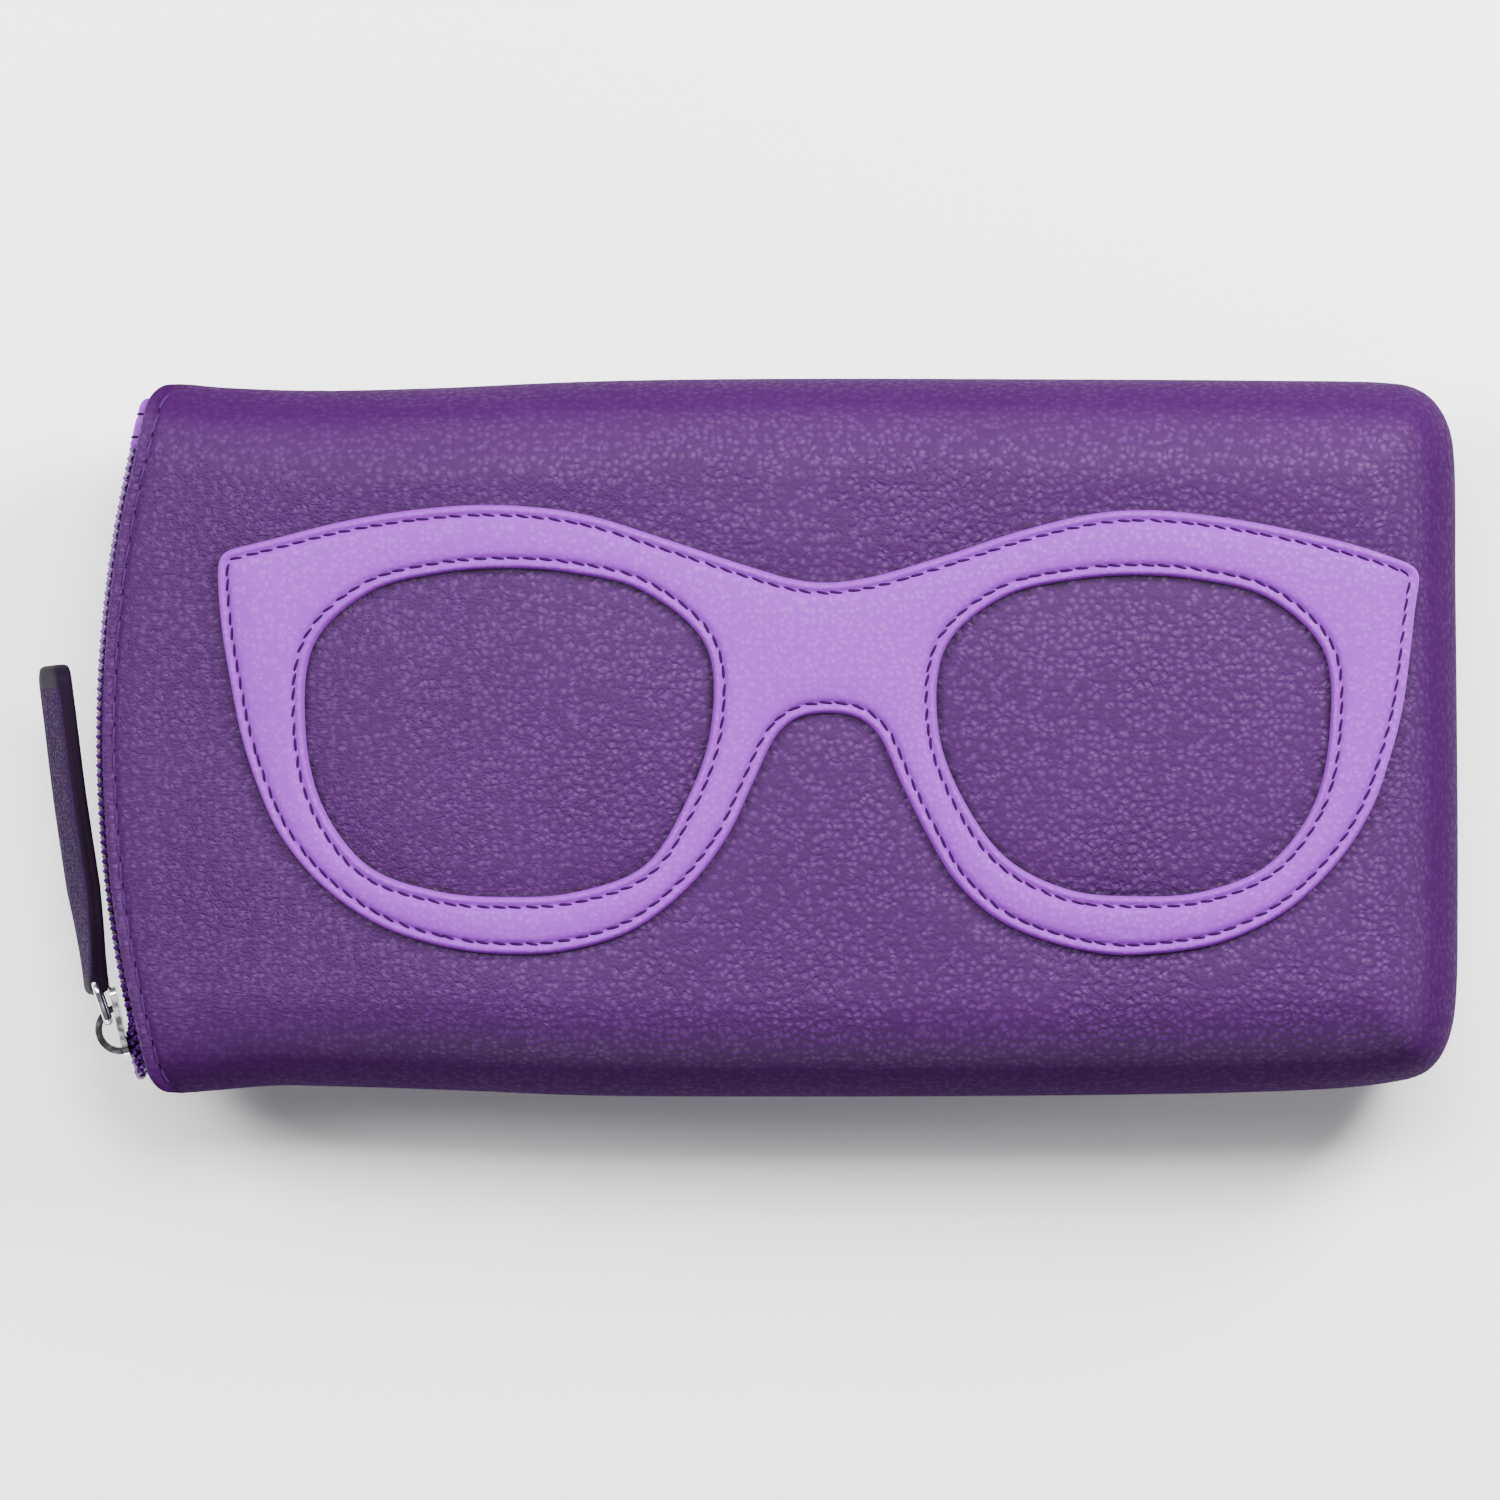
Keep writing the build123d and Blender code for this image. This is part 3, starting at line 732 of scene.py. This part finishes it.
def lining(front):
    """The cloth inside one half: the leather's shape moved in by the layers' thickness."""
    name = "front" if front else "back"
    steps = [0, 0.3, 1, 2.2, 4, 6.5, 9.5, 13]
    plan = plan_grid([4, 4.6, 6], steps, 30, 60)
    rows, cols = plan.shape[:2]
    flat = plan.reshape(-1, 2)
    height = half_height(flat[:, 0]) * quarter_round(distance(flat, SIDES) / ROUND)
    grid = space(flat[:, 0], flat[:, 1], front, height).reshape(rows, cols, 3)
    normals = grid_normals(grid, front)
    normals[0], normals[-1], normals[:, -1] = normals[1], normals[-2], normals[:, -2]
    deep = 2.3 + 1.5 * step(MOUTH_X + 3, TAPER_X, grid[..., 0])
    deep = deep + 0.12 * lumps(grid[..., 0], grid[..., 1], 9, 1.0)
    moved = grid - normals * deep[..., None]
    low, high = (MID, THICK) if front else (0.0, MID)
    moved[..., 2] = np.clip(moved[..., 2], low, high)
    obj = mesh(f"{name}_lining_cloth", moved, quads(rows, cols, flip=not front), LINING)
    thicken(obj, 0.4)
    if front:
        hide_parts("front_lining", "front_lining_lip")
        lift(obj)
    else:
        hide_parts("back_lining")
        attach(obj, "case")


def divider():
    """The cloth round the board between the compartments, rounded at its edges, and the board's own look."""
    steps = [0, 0.12, 0.3, 0.7, 3]
    plan = plan_grid(steps, steps, 16, 40)
    x, y = plan[..., 0], plan[..., 1]
    case_x, case_long = -87.8, 176.8
    ends_x = DIVIDER_X + (x[:, -1:] - case_x) * (DIVIDER_END_X - DIVIDER_X) / case_long
    along = (x - x[:, :1]) / (x[:, -1:] - x[:, :1])
    plan = np.stack([DIVIDER_X + along * (ends_x - DIVIDER_X), y * DIVIDER_HALF_WIDTH / 46.9], axis=-1)
    rows, cols = plan.shape[:2]
    reach = np.minimum(np.arange(rows), np.arange(rows)[::-1])[:, None] + np.zeros(cols)
    ends = np.minimum(np.arange(cols), np.arange(cols)[::-1])[None, :] + np.zeros((rows, 1))
    half = 0.85 * quarter_round(np.minimum(reach, ends) / 3)
    sheets = [np.concatenate([plan, z[..., None]], axis=-1) for z in (MID + half, MID - half)]
    faces = quads(rows, cols) + quads(rows, cols, start=rows * cols, flip=True)
    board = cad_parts["divider_board"]
    board.data.materials.clear()
    board.data.materials.append(BOARD)
    obj = mesh("divider_cloth", np.vstack(sheets), faces, LINING)
    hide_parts("divider_cover")
    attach(obj, "case")


# ---- applique


def applique_height(depth):
    """Height above the leather at a distance in from the applique's nearest edge."""
    rim = 1.25 * quarter_round(depth / 0.75)
    valley = 0.5 * bell(depth, SEAM_IN, 0.42)
    swell = 0.12 * step(2.2, 5.0, depth)
    return rim - valley + swell - 0.1


def applique():
    """The spectacle shape in lilac leather: a raised rim, a valley for the stitches and a soft middle."""
    counts = [int(len(APPLIQUE_EDGE) * 0.98), *(int(len(e) * 0.9) for e in LENS_EDGES)]
    edges = zip([APPLIQUE_EDGE, *LENS_EDGES], counts)
    boundary = [resample(np.vstack([e, e[:1]]), count, True) for e, count in edges]
    starts = [sum(counts[:k]) for k in range(3)]

    def on_sheet(points):
        return inside(points, boundary[0]) & ~inside(points, boundary[1]) & ~inside(points, boundary[2])

    points, lines = [], []
    for first, line in zip(starts, boundary):
        count = len(line)
        lines += [(first + i, first + (i + 1) % count) for i in range(count)]
        points.append(line)
    for depth in (0.05, 0.15, 0.35, 0.6, 0.85, 1.08, 1.27, 1.45, 1.63, 1.85, 2.15, 2.6, 3.2, 4.0):
        for k, line in enumerate(boundary):
            ring = line + outward(line) * (depth if k else -depth)
            points.append(ring[distance(ring, line, True) > depth - 0.02])
    xs, ys = np.meshgrid(np.arange(-74, 85, 1.0), np.arange(-29, 32, 1.0))
    fill = np.stack([xs.ravel() + 0.5 * (ys.ravel() % 2), ys.ravel()], axis=1)
    points.append(fill)
    loose = np.vstack(points[3:])
    gap = np.min([distance(loose, b, True) for b in boundary], axis=0)
    kept = on_sheet(loose) & (gap > 0.03)
    kept[-len(fill) :] &= gap[-len(fill) :] > 4.4
    flat = np.vstack([*points[:3], loose[kept]])
    out = delaunay_2d_cdt([Vector(p) for p in flat], lines, [], 0, 1e-5)
    plan = np.array([tuple(v) for v in out[0]])
    faces = np.array([list(f) for f in out[2]])
    faces = faces[on_sheet(plan[faces].mean(axis=1))]
    depth = np.min([distance(plan, b, True) for b in boundary], axis=0)
    place, normal = on_surface(plan)
    top = place + normal * applique_height(depth)[:, None]
    faces, index = faces.tolist(), [0] * len(faces)

    # The cut edge runs down to the leather as a dark band; on a lens opening's side nearest to a light it is
    # widened as painted shadow.
    to_light = [None, unit(np.array([-0.75, 0.65])), unit(np.array([0.75, 0.65]))]
    for first, line, toward in zip(starts, boundary, to_light):
        away = outward(line) if toward is None else -outward(line)
        lean = np.zeros(len(line)) if toward is None else -away @ toward
        # 0.12 mm of real cut edge, and up to 0.65 mm more of painted shadow.
        reach = 0.12 + 0.65 * step(-0.1, 0.9, lean)
        low, up = on_surface(line + away * reach[:, None])
        start, count = len(top), len(line)
        top = np.vstack([top, top[first : first + count], low - up * 0.3])
        for i in range(count):
            j = (i + 1) % count
            faces.append([start + i, start + count + i, start + count + j, start + j])
            index.append(1)
    obj = mesh("applique_leather", top, faces, [LILAC, CUT_EDGE_AND_SHADOW], index)
    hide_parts("glasses_applique", "glasses_applique_lip")
    lift(obj)


def stitches(
    name, path, normal, pitch, long, thick, slant=0.0, rise=0.1, closed=True, holes=False, colour=THREAD
):
    """Separate arched stitches along a path, each dipping into its two holes, and the holes if asked for, as
    dark discs of painted shade.
    """
    run_path = np.vstack([path, path[:1]]) if closed else path
    run_normal = np.vstack([normal, normal[:1]]) if closed else normal
    run = run_along(run_path)
    count = int(round(run[-1] / pitch))
    real = run[-1] / count
    verts, faces = [], []
    stations, around = 7, 6
    for i in range(count):
        middle = (i + 0.5) * real + RNG.normal(0, 0.06 * pitch)
        t = np.linspace(-1, 1, stations)
        at = np.clip(middle + t * long / 2, 0, run[-1])
        p = at_length(at, run, run_path)
        up = unit(at_length(at, run, run_normal))
        along = unit(np.gradient(p, axis=0))
        side = unit(np.cross(along, up))
        lean = slant * (1 + RNG.normal(0, 0.3))
        core = p + up * (rise * (1 - 1.7 * t**4))[:, None] + side * (t * lean)[:, None]
        radius = thick / 2 * np.sqrt(np.maximum(1 - 0.75 * t**4, 0.05))
        start = len(verts) * stations * around
        verts.append(tube(core, side, radius, up, radius, around).reshape(-1, 3))
        faces += capped(stations, around, start)
    index = [0] * len(faces)
    # Each hole is a flat dark disc: painted shade standing in for the hollow.
    if holes:
        for i in range(1, count):
            at = i * real + np.array([-0.1, 0, 0.1])
            p = at_length(at, run, run_path)
            up = unit(at_length(at[1], run, run_normal))
            along = unit(p[2] - p[0])
            side = np.cross(along, up)
            turn = circle(8)[:, None]
            start = sum(len(v) for v in verts)
            verts.append(p[1] + up * 0.06 + along * np.cos(turn) * 0.42 + side * np.sin(turn) * 0.24)
            faces.append([start + j for j in range(8)])
            index.append(1)
    return mesh(name, np.vstack(verts), faces, [colour, NEEDLE_HOLE_SHADE], index)


def offset_ring(line, by):
    """A closed outline moved sideways, with its points that come too close to the outline left out."""
    ring = line + outward(line) * by
    return ring[distance(ring, line, True) > abs(by) - 0.03]


def applique_stitches():
    """The rows of stitches round the applique and its two lens openings."""
    edge_nodes = ("applique_edge_stitching", "applique_edge_stitching_lip")
    left_nodes = ("left_lens_stitching", "left_lens_stitching_lip")
    rows = [
        ("applique_edge_stitches", APPLIQUE_EDGE, -SEAM_IN, edge_nodes, True),
        ("left_lens_stitches", LENS_EDGES[0], SEAM_IN, left_nodes, True),
        ("right_lens_stitches", LENS_EDGES[1], SEAM_IN, ("right_lens_stitching",), False),
    ]
    for name, line, by, nodes, bends in rows:
        ring = offset_ring(line, by)
        ring = resample(np.vstack([ring, ring[:1]]), 700, True)
        place, normal = on_surface(ring)
        place = place + normal * applique_height(np.full(len(ring), SEAM_IN))[:, None]
        obj = stitches(name, place, normal, 2.12, 1.9, 0.36, slant=0.15)
        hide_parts(*nodes)
        if bends:
            lift(obj)
        else:
            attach(obj, "case")


def mouth_stitches(front):
    """The row of longer stitches along a leather edge at the mouth."""
    name = "front" if front else "back"
    line = MOUTH_EDGE[8:-8]
    along = unit(np.gradient(line, axis=0))
    inward = np.stack([along[:, 1], -along[:, 0]], axis=1)
    row = line + inward * MOUTH_SEAM
    row = row[distance(row, MOUTH_EDGE) > MOUTH_SEAM - 0.05]
    place, normal = on_surface(row, front)
    looks = {"rise": 0.12, "closed": False, "holes": True, "colour": MOUTH_THREAD}
    obj = stitches(f"{name}_mouth_stitches", place, normal, 3.45, 2.75, 0.42, 0.05, **looks)
    if front:
        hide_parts("front_mouth_stitching", "front_mouth_stitching_lip")
        lift(obj)
    else:
        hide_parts("back_mouth_stitching")
        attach(obj, "case")


# ---- zip


def arc(y, radius):
    """The x of a point on a circle about the mouth's axis."""
    return ARC_X - np.sqrt(radius**2 - y**2)


def mouth_x(y, radius):
    """As arc, but following the leather round the mouth's two corners."""
    corner = np.interp(y, MOUTH_EDGE[:, 1], MOUTH_EDGE[:, 0]) + (EDGE_R - radius)
    return np.maximum(arc(y, radius), np.where(np.abs(y) > 41, corner, -200.0))


def edge_height(y, back=1.0):
    """Leather height above the middle plane near the mouth's edge."""
    x = mouth_x(y, ARC_R - back)
    side = distance(np.stack([x, y], axis=1), SIDES)
    return half_height(x) * quarter_round(side / ROUND)


def tape(front):
    """A woven tape sewn under the hem, turning down to the coil. The two meet at the mouth's corners."""
    name = "front" if front else "back"
    corner = np.array([45.2, 45.6, 45.9, 46.1, 46.25, 46.37])
    y = np.concatenate([-corner[::-1], np.linspace(-44.8, 44.8, 110), corner])
    top = np.maximum(edge_height(y) - 1.6, 0.15)
    low = np.minimum(2.2, 0.45 * top) * (1 - step(40.5, 42.2, np.abs(y))) + 0.03
    rows = []
    for radius, drop in ((157.5, 0), (160, 0), (162.5, 0), (163.4, 0.1), (163.95, 0.45), (164.2, 1.0)):
        rise = edge_height(y, ARC_R - radius) - 1.6 if radius < 163 else top
        rows.append(np.stack([mouth_x(y, radius), y, np.maximum(rise - drop, low)], axis=1))
    for share in (0.5, 1.0):
        z = np.maximum((top - 1.0) * (1 - share) + low * share, low)
        rows.append(np.stack([mouth_x(y, 164.3), y, z], axis=1))
    grid = np.stack(rows, axis=1)

    # At the mouth's corners it tucks in behind the side seam.
    tucked = step(45.6, 46.25, np.abs(grid[..., 1]))
    grid[..., 0] += 0.3 * tucked
    grid[..., 1] -= 0.3 * tucked * np.sign(grid[..., 1])
    lower, upper = (np.array(sorted(side)) for side in (LOWER_SIDE, UPPER_SIDE))
    margin = 0.45 + 0.8 * step(-78.5, -76.0, grid[..., 0])
    lowest = np.interp(grid[..., 0], lower[:, 0], lower[:, 1]) + margin
    highest = np.interp(grid[..., 0], upper[:, 0], upper[:, 1]) - margin
    grid[..., 1] = np.clip(grid[..., 1], lowest, highest)
    grid[..., 2] = MID + grid[..., 2] * (1 if front else -1)
    obj = mesh(f"{name}_zip_tape_cloth", grid, quads(len(y), grid.shape[1]), TAPE)
    thicken(obj, 0.45)
    if front:
        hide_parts("front_zip_tape", "front_zip_tape_lip")
        lift(obj)
    else:
        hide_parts("back_zip_tape")
        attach(obj, "case")


def coil(front):
    """Half of the nylon coil: bent loops across the zip, meeting the other half's between them.

    At the lower corner, past the slider at rest, they stand out and have a second row between them.
    """
    name = "front" if front else "back"
    verts, faces = [], []
    stations, around = 9, 8
    for i in range(int(2 * COIL_HALF_RUN / COIL_PITCH)):
        y = -COIL_HALF_RUN + (i + (0.5 if front else 0.0)) * COIL_PITCH
        if not COIL_ENDS[0] <= y <= COIL_ENDS[1]:
            continue
        bare = step(-36.5, -39.5, y)
        loops = [(y, COIL_R + 0.95 * bare, 1.6 - 0.35 * bare)]
        if bare > 0.02:
            loops += [(y + 0.5 * COIL_PITCH, COIL_R - 0.15 + 0.15 * bare, 1.35)]
        for at, middle, stretch in loops:
            t = np.linspace(0, 1, stations)
            z = 3.35 - 3.75 * t
            wide = 0.52 - 0.23 * step(0.55, 0.8, t)
            radius = wide * np.sqrt(np.clip(np.minimum((1.02 - t) / 0.12, (t + 0.03) / 0.14), 0.02, 1))
            level = np.full(stations, at)
            core = np.stack([arc(level, middle) - 0.1 * np.sin(t * 3.1), level, z], axis=1)
            slope = -at / ZIP_R
            along = unit(np.array([-slope, 1.0, 0.0]))
            out = unit(np.array([-1.0, -slope, 0.0]))
            points = tube(core, along, radius, out, radius * stretch, around)
            points[..., 2] = MID + points[..., 2] * (1 if front else -1)
            start = len(verts) * stations * around
            verts.append(points.reshape(-1, 3))
            faces += capped(stations, around, start, flip=not front)
    obj = mesh(f"{name}_zip_teeth", np.vstack(verts), faces, COIL)
    if front:
        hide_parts("front_zip_coil", "front_zip_coil_lip")
        lift(obj)
    else:
        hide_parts("back_zip_coil")
        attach(obj, "case")


def end_tab():
    """The lilac tab folded round the zip's closed end, with two bars of thread."""
    low, high = TAB_ENDS
    lower_end = low + np.array([0, 0.05, 0.25, 0.6, 1.1])
    upper_end = high - np.array([1.1, 0.6, 0.25, 0.05, 0])
    y = np.concatenate([lower_end, np.linspace(TAB_BARS[0], 42.8, 8), upper_end])
    ends = quarter_round(np.minimum(y - low, high - y) / 1.1)
    dent = 0.22 * sum(bell(y, bar, 0.3) for bar in TAB_BARS)
    turn = circle(28)
    half_z = (TAB_HALF[1] * (0.75 + 0.25 * ends))[:, None]
    half_r = (TAB_HALF[0] * ends - dent)[:, None]
    radius = TAB_R + half_r * squared(np.sin(turn))[None]
    level = y[:, None] + 0 * radius
    grid = np.stack([arc(level, radius), level, MID + half_z * squared(np.cos(turn))[None]], axis=-1)
    obj = mesh("zip_end_tab_leather", grid, quads(len(y), len(turn), wrap_cols=True), LILAC)
    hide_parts("zip_end_tab")
    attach(obj, "case")
    for k, bar_y in enumerate(TAB_BARS):
        t = np.linspace(-2.05, 2.05, 60)
        level = np.full(len(t), bar_y)
        radius = TAB_R + 0.62 * squared(np.cos(t))
        path = np.stack([arc(level, radius), level, MID + 4.42 * squared(np.sin(t))], axis=1)
        normal = unit(np.stack([-np.cos(t) * 4.4, np.cos(t), np.sin(t) * 0.8], axis=1))
        bar = stitches(f"zip_tab_stitches_{k + 1}", path, normal, 2.2, 1.9, 0.36, closed=False)
        if k == 0:
            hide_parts("zip_end_tab_stitching")
        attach(bar, "case")


# ---- slider and pull


def hardware():
    """The CAD's slider and ring in bright plating, the slider with softened edges."""
    for name in ("slider_body", "pull_ring"):
        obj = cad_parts[name]
        obj.data.materials.clear()
        obj.data.materials.append(CHROME)
        if name == "slider_body":
            soft = obj.modifiers.new("edges", "BEVEL")
            soft.width, soft.segments, soft.limit_method = 0.18 * MM, 2, "ANGLE"
            soft.angle_limit = math.radians(35)
        obj.data.polygons.foreach_set("use_smooth", [True] * len(obj.data.polygons))


# The strap's middle line from above, from the ring to its free end, and where along it the mesh has a ring.
STRAP_LINE = [
    (-88.95, -33.45), (-89.2, -32.1), (-89.5, -29.6), (-90.15, -24.4), (-90.95, -19.2),
    (-92.15, -11.3), (-92.9, -6.1), (-93.85, 1.8), (-94.5, 7), (-94.75, 9.6),
]
STRAP_RINGS = [0, 0.25, 0.75, 1.5, 2.4, 3.6, 4.8, 6, 7.2, 9, 11, 14, 18, 22, 26, 30, 34, 38]
STRAP_RINGS += [40.5, 41.05, 41.6, 42.1, 42.5, 42.85, 43.15, 43.35, 43.45]


def strap():
    """The folded pull strap: a narrow neck round the ring's bar, two glued layers and dark painted edges."""
    line = curve(STRAP_LINE, 400)
    run = run_along(line)
    lengths = np.array(STRAP_RINGS) * run[-1] / STRAP_RINGS[-1]
    tip = np.clip(lengths - run[-1] + TIP_R, 0, TIP_R)
    neck = np.interp(lengths, [0, 1.6, 2.6, 8.5], [5.4, 5.4, 5.9, STRAP_WIDTH]) / 2
    width = neck - TIP_R + np.sqrt(TIP_R**2 - tip**2)
    thick_at = [(0, 0.5), (0.25, 1.7), (0.75, 2.4), (1.3, 2.5), (2.8, 2.3), (5.8, 2.1), (43.2, 2.05)]
    thick = np.interp(lengths, *zip(*thick_at, (43.45, 1.4))) / 2
    x, y = at_length(lengths, run, line).T
    heading = np.arctan2(-np.gradient(x, lengths), np.gradient(y, lengths))
    twist = np.radians(np.interp(lengths, [0, 9, 14, 43], [12, 14, 18.5, 18]))
    face_out = np.stack([-np.cos(heading), -np.sin(heading), np.zeros(len(x))], axis=1)
    up = np.array([0, 0, 1.0])
    across = np.cos(twist)[:, None] * up - np.sin(twist)[:, None] * face_out
    through = np.cos(twist)[:, None] * face_out + np.sin(twist)[:, None] * up
    # A quarter of the section, with a faint groove between the two layers at the middle of the edge.
    quarter = [(1.0, 0.25), (1.0, 0.62), (0.975, 0.86), (0.9, 1.0), (0.5, 1.04)]
    upper = [(-w, t) for w, t in quarter] + [(0, 1.05)] + quarter[::-1]
    lower = [(w, -t) for w, t in quarter] + [(0, -1.05)] + [(-w, -t) for w, t in quarter[::-1]]
    section = np.array([*upper, (0.985, 0.0), *lower, (-0.985, 0.0)])
    centre = np.stack([x, y, np.full(len(x), MID)], axis=1)
    grid = (
        centre[:, None]
        + across[:, None] * (width[:, None] * section[:, 0])[..., None]
        + through[:, None] * (thick[:, None] * section[:, 1])[..., None]
    )
    rows, cols = len(x), len(section)
    faces = capped(rows, cols)
    is_edge = [abs(section[j, 0]) > 0.96 and abs(section[(j + 1) % cols, 0]) > 0.96 for j in range(cols)]
    index = []
    for i in range(rows - 1):
        painted_end = lengths[i] > run[-1] - TIP_R - 0.6 or lengths[i] < 2.0
        index += [1 if e or painted_end else 0 for e in is_edge]
    index += [0, 1]
    obj = mesh("strap_leather_piece", grid, faces, [STRAP, EDGE_PAINT], index)
    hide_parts("pull_strap")
    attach(obj, "pull_strap")


# ---- room, light and camera


def flat_sheet(name, half, height, looks):
    """A level square sheet under or over the object."""
    data = bpy.data.meshes.new(name)
    corners = [(-half, -half), (half, -half), (half, half), (-half, half)]
    data.from_pydata([(x, y, height) for x, y in corners], [], [(0, 1, 2, 3)])
    data.materials.append(Nodes(name).look(looks))
    return link(name, data)


def area_light(name, place, aim, size, power):
    """A soft box of light in watts, facing the aim."""
    data = bpy.data.lights.new(name, "AREA")
    data.shape, data.size, data.size_y = "RECTANGLE", size[0], size[1]
    data.energy = power
    obj = link(name, data)
    obj.location = place
    obj.rotation_mode = "QUATERNION"
    obj.rotation_quaternion = (Vector(aim) - Vector(place)).to_track_quat("-Z", "Y")


def room():
    """A pale floor, soft light from both sides and from above, and the photo's view straight down."""
    matt = {"Base Color": (0.93, 0.93, 0.93, 1), "Roughness": 0.9, "Specular IOR Level": 0.1}
    floor = flat_sheet("floor", 4, 0, matt)

    world = bpy.data.worlds.new("world")
    world.use_nodes = True
    sky = world.node_tree.nodes["Background"].inputs
    sky[0].default_value = (0.95, 0.96, 1.0, 1)
    sky[1].default_value = 0.22
    bpy.context.scene.world = world
    area_light("left_box", (-0.38, 0.16, 0.4), (-0.05, 0.02, 0.02), (0.25, 0.3), 5.2)
    area_light("right_box", (0.34, 0.3, 0.38), (0.06, 0.02, 0.02), (0.22, 0.25), 8.3)
    area_light("top_box", (0.05, 0.5, 1.15), (0, 0, 0.02), (0.6, 0.35), 23.5)
    area_light("low_fill", (0.04, -1.5, 0.33), (0, 0, 0.02), (0.8, 0.2), 9)
    area_light("end_fill", (1.5, 0.08, 0.33), (0, 0, 0.02), (0.2, 0.7), 7)

    # A dark card behind the camera, for the metal to reflect.
    overhead = flat_sheet("dark_card", 0.4, 3.4, {"Base Color": (0.01, 0.01, 0.01, 1)})

    data = bpy.data.cameras.new("camera")
    data.sensor_width = 36
    camera_height, frame_width = 3.0, 0.1963
    data.lens = data.sensor_width * (camera_height - MID * MM) / frame_width
    data.clip_start, data.clip_end = 0.05, 20
    camera = link("camera", data)
    camera.location = (-0.00366, -0.0015, camera_height)
    bpy.context.scene.camera = camera


def main():
    """The room, then every piece."""
    room()
    panel(True)
    panel(False)
    lining(True)
    lining(False)
    divider()
    applique()
    applique_stitches()
    for front in (True, False):
        mouth_stitches(front)
        tape(front)
        coil(front)
    end_tab()
    hardware()
    strap()


main()
